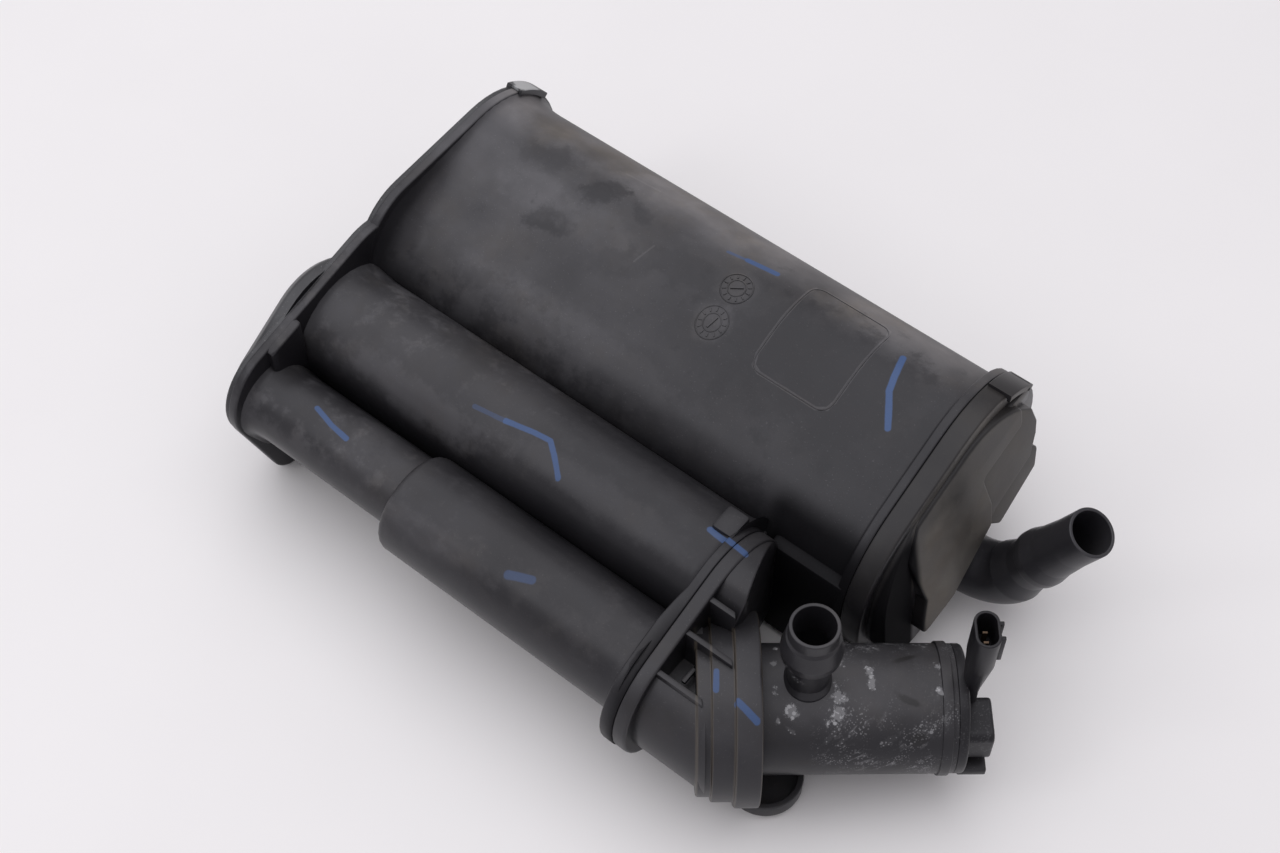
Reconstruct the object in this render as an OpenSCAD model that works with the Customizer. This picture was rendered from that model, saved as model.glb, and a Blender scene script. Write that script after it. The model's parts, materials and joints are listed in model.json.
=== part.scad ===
// Charcoal canister with three carbon chambers, a bent tank port and a shut-off valve on its vent side.
// X runs along the chambers from the rear cover to the front, Y from the small chamber to the big one, Z up.
// All sizes are in millimetres. The welded flanges stand on the plane z = 0, with the origin under the
// middle of the whole part. Positions below are counted from the rear weld plane and the big chamber.

/* [Housing] */
// Length of the big chamber between its two weld planes
housing_l = 243; // [233:1:253]
// Distance from the front weld plane of the big chamber back to the weld plane of the valve adapter
short_gap = 38; // [31:1:46]
// Wall of the chambers
wall = 2.5; // [2:0.1:3]
// Height of the welded rims over the chamber walls
rim_h = 4; // [3:0.5:5]
// Thickness of each welded rim
rim_t = 4; // [3:0.5:5]

/* [Chambers] */
// Corner radius of the big chamber
big_r = 38.5; // [36:0.5:40]
// Width of the big chamber between its corner centres
big_span = 32; // [28:1:36]
// Half width of the middle chamber
mid_r = 25; // [23:0.5:26]
// Half width of the small chamber behind its step
small_r = 16; // [14:0.5:17]
// Growth of the small chamber in front of its step
small_grow = 5.5; // [4.5:0.5:6]
// Distance from the rear weld plane to the step of the small chamber
step_x = 82; // [74:1:90]

/* [Covers] */
// Depth of the rear cover over the middle and small chambers
rear_dome = 11.5; // [10.5:0.25:12.5]
// Depth of the welded rim of the front cover
front_rim = 9; // [7:0.5:10]
// Depth of the front cover's seat for the tank pipe in front of its rim
front_dome = 2; // [1.5:0.25:2.5]
// Turn of the front cover's face and of the tank pipe, in degrees
face_turn = 6.5; // [5:0.5:8]

/* [Tank port] */
// Outer radius of the tank pipe
tank_r = 10; // [9.25:0.25:10.5]
// Turn of the tank pipe from level, in degrees
tank_turn = 64; // [58:1:68]
// Radius of the bend of the tank pipe
tank_bend = 19.5; // [18:0.5:22]
// Length of the straight hose nipple of the tank pipe
tank_nipple = 53; // [49:1:56]

/* [Shut-off valve] */
// Turn of the valve from the chamber direction, in degrees
valve_turn = 39; // [37:0.5:41]
// Outer radius of the valve body
valve_r = 24.6; // [24:0.1:25.2]
// Length of the valve body in front of the collar
valve_l = 72; // [70:0.5:76]
// Outer radius of the largest ring of the collar
collar_r = 36.7; // [36:0.1:37.2]
// Outer radius of the vent nipple
vent_r = 9.3; // [8.8:0.1:9.6]
// Travel of the plunger of the valve
stroke = 2.5; // [2:0.1:3]

/* [Carbon beds] */
// Distance from the rear weld plane to the carbon beds
bed_x = 22; // [20:0.5:24]
// Thickness of each fleece pad
fleece_t = 4; // [3:0.25:5]
// Thickness of each pressure plate
plate_t = 4; // [3:0.25:4.5]

/* [Hidden] */
$fn = 64;
// Depth of the straight sides under the crowns of the corner circles, so that they cross
dip = 0.02;
wall_z = rim_h;
short_l = housing_l - short_gap;
// Chamber sections: corner circles as [y, z, radius], listed counter-clockwise seen from the front
big_y = big_span / 2;
big = [[big_y, wall_z + big_r + 20.5, big_r], [-big_y, wall_z + big_r + 7, big_r],
    [-big_y, wall_z + big_r, big_r], [big_y, wall_z + big_r, big_r]];
mid_y = -big_y - big_r + 3 - mid_r;
mid = [[mid_y, wall_z + mid_r + 26.5, mid_r], [mid_y, wall_z + mid_r + 1, mid_r]];
small_y = mid_y - mid_r - 3 - small_r;
small = [[small_y, 50, small_r], [small_y + 6, 38, small_r]];
wide_r = small_r + small_grow;
wide = [[small_y - 2, 49.5, wide_r], [small_y + 4.5, 38, wide_r]];
// Rims: the rear one is shared by all chambers, the front one follows the big chamber
rear_high = [[big_y, big[0][1], big_r + rim_h], [-big_y - 16, big[1][1] + 24.5, 28],
    [-big_y, wall_z + big_r, big_r + rim_h], [big_y, wall_z + big_r, big_r + rim_h]];
rear_low = [[mid_y + 21, 67, 27], [small_y + 4, 53.5, small_r + 9], [small_y + 5, 12.6, 12.6], [-8, 20, 20]];
passage = [[mid_y - 2, 56, 17], [small_y + 6, 38, 12], [mid_y - 2, 26, 17]];
rear_bulge = [[mid_y - 8, 60, 23], [small_y + 8, 50, 17], [small_y + 11, 22, 12], [mid_y, 28, 18]];
vent_rim = [[mid_y - 7, mid[0][1], mid_r + rim_h], [small_y + 0.5, 42, wide_r + 8.5],
    [mid_y - 7, mid_r + rim_h, mid_r + rim_h]];
// Start of the tank pipe on the front cover
tank_y = 7.5;
tank_z = 20.5;
// Planes along the chambers
front_x = housing_l + front_rim;
adapter_t = 6;
collar_reach = 28.8;
adapter_x = short_l + adapter_t;
plate_x = bed_x - fleece_t - plate_t;
// Valve axis: start point in the plane of the collar's face
valve_z = collar_r + 1.3;
valve_x = adapter_x + collar_reach;
// The valve passes the corner of the front cover with a small gap
valve_gap = 2.9;
shoulder = 1.5;
corner_y = -big_y - big_r + shoulder;
corner_x = front_x + 8.8;
valve_y = corner_y - (valve_r + valve_gap + (corner_x - valve_x) * sin(valve_turn)) / cos(valve_turn);
bore_r = valve_r - 2.6;
vent_at = 17;
vent_top = 101;
vent_bore = vent_r - 3.5;
vent_wall = 1.3;
plug_at = valve_l + 6;
plug_top = 98;
// Coil and plunger, measured along the valve axis from the collar's face
seat_at = 3;
coil_at = 34;
coil_l = valve_l - coil_at - 4;
flange_t = 2.5;
yoke_t = 1.6;
shaft_r = 5.5;
rod_r = 2.2;
play = 0.4;
pole_l = 12;
pole_seat = 6;
spring_r = 3.6;
air_gap = 0.6;
seal_r = 11;
seal_t = 6;
seat_r = 10;
seat_bore = 8;
spigot_l = 12;
groove_at = -8;
tank_x = front_x + front_dome;
tank_bore = tank_r - 2.2;
tank_foot = 10;
tank_body_r = tank_r + 2.6;
// Overlap of the bend with its straight ends
lap = 0.6;
cover_rim = 2.5;
recess = 1.2;
// Springs behind the pressure plates
big_spring_r = 20;
mid_spring_r = 12;
small_spring_r = 8;
plate_hole = 3;
big_mid_z = big[0][1] - 12;
mid_mid_z = (mid[0][1] + mid[1][1]) / 2;
small_mid_z = (small[0][1] + small[1][1]) / 2;
// Neck of the valve adapter and the steps of its collar
neck_z = small_mid_z - 2;
neck_wall = 6;
neck_bore = wide_r + neck_wall - 15;
web_t = 4;
ring_back = 24;
ring_mid = 18.5;
ring_front = 10;
// Cup under the collar
cup_r = 15;
cup_z = 3;
cup_h = 7;
// Front cover: lean of its base and of its raised plateau, in degrees
base_lean = 6.7;
plateau_lean = 11.8;
plateau_turn = -5;
plateau_x = front_x + 18;
// Outlines of the plateau and of the shelf at its free side, as [y, z]
plateau = [[-32, 19.5], [-11.5, 25.5], [14, 45.5], [15, 56.5], [10.6, 74.7], [35.2, 84.4], [36, 120],
    [-27, 120], [-27, 86], [-34.5, 67], [-27, 38]];
shelf = [[14, 40], [19.7, 38.4], [43.5, 53.2], [45.8, 69.3], [46.6, 75.5], [44, 84], [30, 95], [8, 84], [8, 50]];
// Depth of the shelf behind the plateau
shelf_d = 2;
// Clip of the rear cover over the corner of the rear rim
clip_from = 34;
clip_to = 62;
clip_t = 1.4;
clip_gap = 0.3;
// Ledge on the big chamber in front of the valve adapter
ledge_x = short_l + 10;
ledge_z = 57;
// Lug at the free end of the valve, its X pointing down
lug_l = 12;
lug = [[4, -3, 3.5], [-6.5, -3, 3.5], [-6.5, -14.5, 3.5], [4, -14.5, 3.5]];
// Size of the hook at the free end of the valve
hook_y = 21;
hook_l = 13;
// Middle of the whole part between its outermost points
hook_x = valve_x + (valve_l + hook_l) * cos(valve_turn) + hook_y * sin(valve_turn);
tip_reach = tank_foot + tank_bend * sin(tank_turn) + tank_nipple * cos(tank_turn);
tip_x = tank_x + tip_reach * cos(face_turn) + tank_r * sqrt(1 - pow(cos(tank_turn) * cos(face_turn), 2));
centre_x = (max(hook_x, tip_x) - rear_dome) / 2;
centre_y = (big_y + big_r + rim_h + vent_rim[1][0] - vent_rim[1][2]) / 2;

plastic = [0.13, 0.13, 0.14];
steel = [0.62, 0.63, 0.65];
copper = [0.72, 0.43, 0.22];

// Unit vector at an angle
function heading(a) = [cos(a), sin(a)];
// Outward direction of the straight side from corner circle p to corner circle q
function side(p, q) = let (d = [q[0] - p[0], q[1] - p[1]])
    atan2(d[1], d[0]) - acos((p[2] - q[2]) / norm(d));
// Points where the straight sides meet the corner circles, grown by e and set in by the dip
function touches(c, e) = [for (i = [0 : len(c) - 1])
    let (p = c[i], q = c[(i + 1) % len(c)], n = heading(side(p, q)))
    each [[p[0], p[1]] + (p[2] + e - dip) * n, [q[0], q[1]] + (q[2] + e - dip) * n]];

// Section bounded by corner circles and the straight sides between them, grown by e
module outline(c, e = 0) {
    polygon(touches(c, e));
    for (p = c)
        translate([p[0], p[1]])
            circle(r = p[2] + e);
}

// Places a piece at a point counted from the rear weld plane and the middle of the big chamber
module at(p) {
    translate(p - [centre_x, centre_y, 0])
        children();
}

// Carries a Y-Z section along X from x0 to x1
module along(x0, x1) {
    at([x0, 0, 0])
        rotate([90, 0, 90])
            linear_extrude(x1 - x0)
                children();
}

// Places a piece on the valve axis: its Z runs outwards along the axis, its X points down
module on_valve(d = 0) {
    at([valve_x, valve_y, valve_z])
        rotate([0, 0, valve_turn])
            rotate([0, 90, 0])
                translate([0, 0, d])
                    children();
}

// Places an upright piece over the valve axis at distance d, starting at height z
module over_valve(d, z = 0) {
    at([valve_x + d * cos(valve_turn), valve_y + d * sin(valve_turn), z])
        rotate([0, 0, valve_turn])
            children();
}

// Tube section bounded by two radii
module tube(h, r, bore) {
    difference() {
        cylinder(h = h, r = r);
        translate([0, 0, -1])
            cylinder(h = h + 2, r = bore);
    }
}

// Coil of round wire standing on z = 0, closed at both ends
module wire_coil(r, wire, h, turns) {
    sides = 6;
    steps = 16;
    n = turns * steps;
    points = [for (i = [0 : n]) let (a = 360 * i / steps, z = wire + (h - 2 * wire) * i / n)
        for (k = [0 : sides - 1]) let (b = 360 * k / sides, s = r + wire * cos(b))
            [s * cos(a), s * sin(a), z + wire * sin(b)]];
    skin = [for (i = [0 : n - 1]) for (k = [0 : sides - 1]) let (m = (k + 1) % sides)
        [i * sides + k, (i + 1) * sides + k, (i + 1) * sides + m, i * sides + m]];
    first = [for (k = [0 : sides - 1]) k];
    last = [for (k = [sides - 1 : -1 : 0]) n * sides + k];
    polyhedron(points, concat([first], skin, [last]));
}

// Sections of the chambers' inner spaces
module big_space() {
    outline(big, -wall);
}

module mid_space() {
    difference() {
        outline(mid, -wall);
        outline(big);
    }
}

module small_space() {
    difference() {
        outline(small, -wall);
        outline(mid);
    }
}

module wide_space() {
    difference() {
        outline(wide, -wall);
        outline(mid);
    }
}

// Section of the rear rim
module rear_section(e = 0) {
    outline(rear_high, e);
    outline(rear_low, e);
}

// Three chambers and their rims, moulded in one piece
module housing() {
    color(plastic)
    difference() {
        union() {
            along(0, housing_l)
                outline(big);
            along(0, short_l)
                outline(mid);
            along(0, step_x + wall)
                outline(small);
            along(step_x, short_l)
                outline(wide);
            along(0, rim_t)
                rear_section();
            along(housing_l - rim_t, housing_l)
                outline(big, rim_h);
            along(short_l - rim_t, short_l)
                outline(vent_rim);
            // Webs between the chambers
            along(0, short_l)
                translate([mid_y - mid_r - 10, small_mid_z - 6])
                    square([16, web_t]);
            along(0, short_l)
                translate([-big_y - big_r - 5, wall_z + mid_r + 12])
                    square([9, 20]);
            // Ledge on the big chamber
            along(ledge_x, housing_l)
                translate([-big_y - big_r - 3, ledge_z])
                    square([10, 6]);
            // Thicker parts of the rims
            along(0, rim_t + 6)
                intersection() {
                    outline(rear_low);
                    translate([small_y + 2, 52])
                        square([17, 40]);
                }
            along(short_l - rim_t - 2, short_l)
                intersection() {
                    outline(vent_rim);
                    translate([small_y - 60, 0])
                        square([70, 120]);
                }
            // Pad on the middle chamber
            at([short_l - rim_t - 9, mid_y + 2, mid[0][1]])
                cube([10, 12, mid_r + rim_h - 2.5]);
        }
        along(-1, housing_l + 1)
            big_space();
        along(-1, short_l + 1)
            mid_space();
        along(-1, step_x + 2 * wall)
            small_space();
        along(step_x + wall, short_l + 1)
            wide_space();
    }
}

// Shallow cover that joins the rear ends of the chambers
module rear_cover() {
    color(plastic)
    difference() {
        union() {
            along(-cover_rim, 0)
                rear_section();
            // Rounded dome
            for (step = [[5, 6], [3, 4.5], [1.5, 2], [0.5, -1], [0, -4]])
                along(step[0] - rear_dome, 0)
                    outline(rear_bulge, step[1]);
            // Clip over the rim's corner
            along(-cover_rim, 0)
                clip_section(-3);
            along(-cover_rim, rim_t + clip_gap + clip_t)
                clip_section(clip_gap);
            along(rim_t + clip_gap, rim_t + clip_gap + clip_t)
                clip_section(-1.5);
        }
        along(-rear_dome + wall, 1)
            outline(rear_bulge, -2);
        along(-recess, 1) {
            outline(rear_high, -14);
            translate([mid_y, 20])
                square([-mid_y, 30]);
        }
    }
}

// Part of a ring around the rim's upper corner, starting at height e over the rim
module clip_section(e) {
    rim_r = big_r + rim_h;
    translate([big_y, big[0][1]])
        intersection() {
            difference() {
                circle(r = rim_r + clip_gap + clip_t);
                circle(r = rim_r + e);
            }
            polygon([[0, 0], 60 * heading(clip_from), 60 * heading(clip_to)]);
        }
}

// Cap of the big chamber with its raised plateau and a ledge that holds the front fleece
module front_cover() {
    color(plastic)
    difference() {
        union() {
            along(housing_l, front_x)
                outline(big, rim_h);
            intersection() {
                along(housing_l, front_x + 40)
                    outline(big, -shoulder);
                behind_base(0);
            }
            // Plateau that leaves room for the valve, and its shelf
            intersection() {
                along(housing_l, front_x + 40)
                    intersection() {
                        outline(big, -2 * shoulder);
                        polygon(plateau);
                    }
                behind_plateau(0);
            }
            intersection() {
                along(housing_l, front_x + 40)
                    polygon(shelf);
                behind_plateau(-shelf_d);
            }
            // Corner hook
            at([housing_l + 1, big_y + 14, big[0][1] + 22])
                cube([10, 16.5, 10]);
        }
        intersection() {
            along(housing_l - 1, front_x)
                outline(big, -9);
            behind_base(-2 * wall);
        }
        on_face()
            cylinder(h = 30, r = tank_r + 4.2);
        on_face(-20)
            cylinder(h = 30, r = tank_bore);
    }
}

// Places a piece on the front cover's face: its Z leaves the face, its X points down
module on_face(d = 0) {
    at([tank_x, tank_y, tank_z])
        rotate([0, 0, face_turn])
            rotate([0, 90, 0])
                translate([0, 0, d])
                    children();
}

// Half space behind the front cover's base, which leans back at its top
module behind_base(d) {
    at([front_x + 4, tank_y, tank_z])
        rotate([0, 0, face_turn])
            rotate([0, 90 - base_lean, 0])
                translate([-200, -200, d - 200])
                    cube([400, 400, 200]);
}

// Half space behind the plateau, which leans back more and turns to the other side
module behind_plateau(d) {
    at([plateau_x, tank_y, tank_z])
        rotate([0, 0, plateau_turn])
            rotate([0, 90 - plateau_lean, 0])
                translate([-200, -200, d - 200])
                    cube([400, 400, 200]);
}

// Bent hose pipe on the front cover
module tank_port_elbow() {
    color(plastic)
    difference() {
        union() {
            on_face()
                rotate_extrude()
                    polygon([[0, 0], [tank_r + 4, 0], [tank_r + 4, 2], [tank_body_r, 3.5],
                        [tank_body_r, tank_foot], [0, tank_foot]]);
            tank_bend_piece(tank_body_r);
            on_tank_nipple()
                rotate_extrude()
                    polygon([[0, -lap], [tank_body_r - 0.4, -lap], [tank_r + 0.8, 9], [tank_r + 0.8, 16],
                        [tank_r + 1.6, 17], [tank_r + 1.6, 22], [tank_r, tank_nipple - 14],
                        [tank_r, tank_nipple], [0, tank_nipple]]);
        }
        on_face(-1)
            cylinder(h = tank_foot + 1 + lap, r = tank_bore);
        tank_bend_piece(tank_bore - 0.4);
        on_tank_nipple()
            translate([0, 0, -lap])
                cylinder(h = tank_nipple + 1 + lap, r = tank_bore);
    }
}

// Bend of the tank pipe with radius r
module tank_bend_piece(r) {
    on_face(tank_foot)
        translate([-tank_bend, 0, 0])
            rotate([90, 0, 0])
                rotate_extrude(angle = tank_turn)
                    translate([tank_bend, 0])
                        circle(r = r);
}

// Places a piece at the end of the bend, its Z along the hose nipple
module on_tank_nipple() {
    on_face(tank_foot)
        translate([-tank_bend * (1 - cos(tank_turn)), 0, tank_bend * sin(tank_turn)])
            rotate([0, -tank_turn, 0])
                children();
}

// Plate, ribbed neck and stepped collar that carry the valve
module valve_adapter() {
    neck = [small_y + 3, neck_z];
    neck_r = wide_r + neck_wall;
    color(plastic)
    difference() {
        union() {
            along(short_l, adapter_x)
                outline(vent_rim);
            // Wedge from the plate's free end to the collar
            intersection() {
                along(short_l, adapter_x + 20)
                    outline(vent_rim, -1);
                at([adapter_x, 0, neck_z - 16])
                    linear_extrude(80)
                        polygon([[-adapter_t, small_y + 21], [-adapter_t, mid_y + 18], [0, mid_y + 17],
                            [11, small_y + 28], [11, small_y + 21]]);
            }
            intersection() {
                along(short_l, adapter_x + 60)
                    translate(neck)
                        circle(r = neck_r);
                behind_collar(4 - ring_back);
            }
            // Ribs from the plate to the collar
            for (rib = [[22, -9.5, 60], [8, -11, 60], [-9, -22, 60], [-22, -22, 11]])
                intersection() {
                    along(short_l, adapter_x + 60)
                        intersection() {
                            outline(vent_rim, -1.5);
                            translate([small_y + rib[0] - 1.2, neck_z - 6])
                                square([2.4, rib[2]]);
                        }
                    behind_collar(rib[1]);
                }
            // Collar of three stepped rings and the cup under it
            intersection() {
                union() {
                    on_valve(-ring_back)
                        cylinder(h = ring_back - ring_mid + 1, r = collar_r - 4.2);
                    on_valve(-ring_mid)
                        cylinder(h = ring_mid - ring_front + 1, r = collar_r - 2.3);
                    on_valve(-ring_front)
                        cylinder(h = ring_front, r = collar_r);
                }
                at([short_l, valve_y - 100, 0])
                    cube([100, 200, 200]);
            }
            over_valve(3.5, cup_z)
                translate([0, -13, 0])
                    difference() {
                        cylinder(h = cup_h, r = cup_r);
                        translate([0, 0, wall])
                            cylinder(h = cup_h, r = cup_r - wall);
                    }
        }
        // Pockets between the ribs
        for (pocket = [[-7.8, 6.8, neck_z + 15, -ring_back], [9.2, 20.8, neck_z + 24, -ring_mid]])
            intersection() {
                at([adapter_x, small_y + pocket[0], pocket[2]])
                    cube([40, pocket[1] - pocket[0], 60]);
                behind_collar(pocket[3]);
            }
        // Passages
        along(short_l - 1, adapter_x - wall)
            outline(passage);
        intersection() {
            along(short_l - 1, adapter_x + 60)
                translate(neck)
                    circle(r = neck_bore);
            behind_collar(6 - ring_back);
        }
        on_valve(3 - ring_back)
            cylinder(h = ring_back + 6, r = bore_r);
        along(short_l - 1, adapter_x + 80)
            outline(big);
    }
}

// Half space behind a plane across the valve axis
module behind_collar(d) {
    on_valve(d - 200)
        translate([-200, -200, 0])
            cube([400, 400, 200]);
}

// Round holes of a pressure plate, on a square grid
module plate_holes(y, z, rows, columns, pitch) {
    for (i = [0 : columns - 1], j = [0 : rows - 1])
        at([plate_x - 1, y + (i - (columns - 1) / 2) * pitch, z + (j - (rows - 1) / 2) * pitch])
            rotate([0, 90, 0])
                cylinder(h = plate_t + 2, r = plate_hole, $fn = 24);
}

module big_carbon_bed() {
    color([0.06, 0.06, 0.06])
    along(bed_x, housing_l - fleece_t)
        big_space();
}

module mid_carbon_bed() {
    color([0.06, 0.06, 0.06])
    along(bed_x, short_l - fleece_t)
        mid_space();
}

module small_carbon_bed() {
    color([0.06, 0.06, 0.06])
    union() {
        along(bed_x, step_x + 2 * wall)
            small_space();
        along(step_x + wall, short_l - fleece_t)
            wide_space();
    }
}

module big_rear_fleece() {
    color([0.85, 0.85, 0.82])
    along(bed_x - fleece_t, bed_x)
        big_space();
}

module mid_rear_fleece() {
    color([0.85, 0.85, 0.82])
    along(bed_x - fleece_t, bed_x)
        mid_space();
}

module small_rear_fleece() {
    color([0.85, 0.85, 0.82])
    along(bed_x - fleece_t, bed_x)
        small_space();
}

module big_front_fleece() {
    color([0.85, 0.85, 0.82])
    along(housing_l - fleece_t, housing_l)
        big_space();
}

module mid_front_fleece() {
    color([0.85, 0.85, 0.82])
    along(short_l - fleece_t, short_l)
        mid_space();
}

module small_front_fleece() {
    color([0.85, 0.85, 0.82])
    along(short_l - fleece_t, short_l)
        wide_space();
}

module big_pressure_plate() {
    color(plastic)
    difference() {
        along(plate_x, plate_x + plate_t)
            big_space();
        plate_holes(0, big_mid_z, 4, 5, 15);
    }
}

module mid_pressure_plate() {
    color(plastic)
    difference() {
        along(plate_x, plate_x + plate_t)
            mid_space();
        plate_holes(mid_y, mid_mid_z, 4, 2, 14);
    }
}

module small_pressure_plate() {
    color(plastic)
    difference() {
        along(plate_x, plate_x + plate_t)
            small_space();
        plate_holes(small_y + 3, small_mid_z, 2, 2, 11);
    }
}

// Compression springs between the rear cover and the pressure plates
module big_spring() {
    x = -recess;
    color(steel)
    at([x, 0, big_mid_z])
        rotate([0, 90, 0])
            wire_coil(big_spring_r, 1.2, plate_x - x, 4);
}

module mid_spring() {
    x = -rear_dome + wall;
    color(steel)
    at([x, mid_y, mid_mid_z])
        rotate([0, 90, 0])
            wire_coil(mid_spring_r, 1, plate_x - x, 4);
}

module small_spring() {
    x = -rear_dome + wall;
    color(steel)
    at([x, small_y + 5, small_mid_z])
        rotate([0, 90, 0])
            wire_coil(small_spring_r, 0.8, plate_x - x, 4);
}

// Valve case with its spigot, valve seat and vent nipple
module valve_body() {
    color(plastic)
    union() {
        difference() {
            union() {
                on_valve()
                    cylinder(h = valve_l, r1 = valve_r, r2 = valve_r - 0.4);
                on_valve(valve_l - 6)
                    cylinder(h = 4, r = valve_r + 0.5);
                on_valve(-spigot_l)
                    cylinder(h = spigot_l + 1, r = bore_r);
                over_valve(vent_at, valve_z + valve_r / 2)
                    rotate_extrude()
                        polygon(vent_profile());
            }
            on_valve(seat_at - 2)
                cylinder(h = valve_l, r = bore_r - 0.2);
            on_valve(-spigot_l - 1)
                cylinder(h = spigot_l, r = bore_r - 5.5);
            on_valve(-spigot_l - 1)
                cylinder(h = spigot_l + seat_at + 3, r = seat_bore);
            over_valve(vent_at, valve_z + 4)
                cylinder(h = 100, r = vent_bore);
            over_valve(vent_at, vent_top - 12)
                cylinder(h = 13, r1 = vent_bore, r2 = vent_r - vent_wall);
            on_valve(groove_at)
                rotate_extrude()
                    translate([bore_r, 0])
                        square([3, 3.4], center = true);
        }
        on_valve(seat_at - 2.5)
            tube(2.5, seat_r, seat_bore);
    }
}

// Profile of the vent nipple from its root to its tip
function vent_profile() = let (h = vent_top - valve_z - valve_r / 2)
    [[0, 0], [vent_r, 0], [vent_r, 12], [vent_r - 1.6, 14], [vent_r - 1.6, h - 24],
        [vent_r + 2, h - 19], [vent_r + 2.3, h - 15], [vent_r + 0.8, h - 7],
        [vent_r, h - 6], [vent_r, h], [0, h]];

// Closed end of the valve with the plug socket
module valve_end_cap() {
    color(plastic)
    difference() {
        union() {
            on_valve(valve_l)
                cylinder(h = 4, r = valve_r - 0.4);
            over_valve(plug_at, plug_top - 19)
                plug_section(19, 0);
            intersection() {
                over_valve(plug_at, plug_top - 42)
                    plug_section(24, 0);
                over_valve(plug_at, plug_top - 42)
                    cylinder(h = 24, r1 = 3.2, r2 = 9);
            }
            over_valve(plug_at, valve_z - 4)
                translate([-3.5, -3, 0])
                    cube([6, 6, plug_top - valve_z - 36]);
            // Side ribs of the socket
            over_valve(plug_at, plug_top - 16)
                for (y = [-3, 3])
                    translate([4.4, y - 0.8, 0])
                        cube([2, 1.6, 15]);
            // Lug with its window, and the hook below it
            on_valve(valve_l + 2)
                linear_extrude(lug_l)
                    outline(lug);
            on_valve(valve_l + 2)
                translate([10, -hook_y, 0])
                    cube([4, 8, hook_l - 2]);
        }
        over_valve(plug_at, plug_top - 15)
            plug_section(16, -1.3);
        on_valve(valve_l + 8)
            linear_extrude(lug_l)
                outline(lug, -3.2);
        terminals();
    }
}

// Oval column of the plug socket
module plug_section(h, e) {
    linear_extrude(h)
        outline([[0, -2.9, 4.75], [0, 2.9, 4.75]], e);
}

// Two contact blades of the plug socket
module connector_terminals() {
    color(copper)
    terminals();
}

module terminals() {
    over_valve(plug_at, plug_top - 24)
        for (y = [-2, 2])
            translate([-0.9, y - 0.4, 0])
                cube([1.8, 0.8, 18]);
}

// Seal between the collar and the valve spigot
module collar_o_ring() {
    color([0.05, 0.05, 0.05])
    on_valve(groove_at)
        rotate_extrude()
            translate([bore_r - 0.75, 0])
                circle(r = 0.75, $fn = 24);
}

// Steel can around the coil
module coil_yoke() {
    color(steel)
    on_valve(coil_at)
        tube(coil_l, bore_r - 0.2, bore_r - 0.2 - yoke_t);
}

module coil_bobbin() {
    color([0.75, 0.72, 0.62])
    difference() {
        union() {
            on_valve(coil_at)
                cylinder(h = flange_t, r = bore_r - 0.2 - yoke_t);
            on_valve(coil_at + coil_l - flange_t)
                cylinder(h = flange_t, r = bore_r - 0.2 - yoke_t);
            on_valve(coil_at)
                cylinder(h = coil_l, r = shaft_r + flange_t);
        }
        on_valve(coil_at - 1)
            cylinder(h = coil_l + 2, r = shaft_r + play);
    }
}

module coil_winding() {
    color(copper)
    on_valve(coil_at + flange_t)
        tube(coil_l - 2 * flange_t, bore_r - 4, shaft_r + flange_t);
}

// Fixed pole in the front of the bobbin, with a seat for the return spring
module fixed_pole() {
    color(steel)
    difference() {
        on_valve(coil_at)
            cylinder(h = pole_l, r = shaft_r + play);
        on_valve(coil_at - 1)
            cylinder(h = pole_l + 2, r = rod_r + play);
        on_valve(coil_at + pole_seat)
            cylinder(h = pole_l, r = spring_r + 1);
    }
}

module armature() {
    color(steel)
    on_valve(coil_at + pole_l + stroke + air_gap)
        tube(coil_l - pole_l - stroke - air_gap - play, shaft_r, rod_r);
}

module push_rod() {
    color([0.75, 0.68, 0.42])
    on_valve(seat_at + stroke + seal_t - 2)
        cylinder(h = coil_at + coil_l - seat_at - stroke - seal_t, r = rod_r);
}

module seal_disc() {
    color([0.05, 0.05, 0.05])
    on_valve(seat_at + stroke)
        difference() {
            cylinder(h = seal_t, r = seal_r);
            translate([0, 0, seal_t - 2])
                cylinder(h = 3, r = rod_r);
        }
}

module return_spring() {
    color(steel)
    on_valve(coil_at + pole_seat)
        wire_coil(spring_r, 0.4, pole_l - pole_seat + stroke + air_gap, 5);
}

housing();
rear_cover();
front_cover();
tank_port_elbow();
valve_adapter();
big_carbon_bed();
mid_carbon_bed();
small_carbon_bed();
big_rear_fleece();
mid_rear_fleece();
small_rear_fleece();
big_front_fleece();
mid_front_fleece();
small_front_fleece();
big_pressure_plate();
mid_pressure_plate();
small_pressure_plate();
big_spring();
mid_spring();
small_spring();
valve_body();
valve_end_cap();
connector_terminals();
collar_o_ring();
coil_yoke();
coil_bobbin();
coil_winding();
fixed_pole();
armature();
push_rod();
seal_disc();
return_spring();
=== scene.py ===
"""Dressed model of a moulded charcoal canister with three chambers and a slanted shut-off valve."""
import json
import logging
import math
from dataclasses import dataclass
from enum import Enum
from typing import Any, Callable, Optional, Sequence, Union

import bmesh
import bpy
from mathutils import Matrix, Vector


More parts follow.
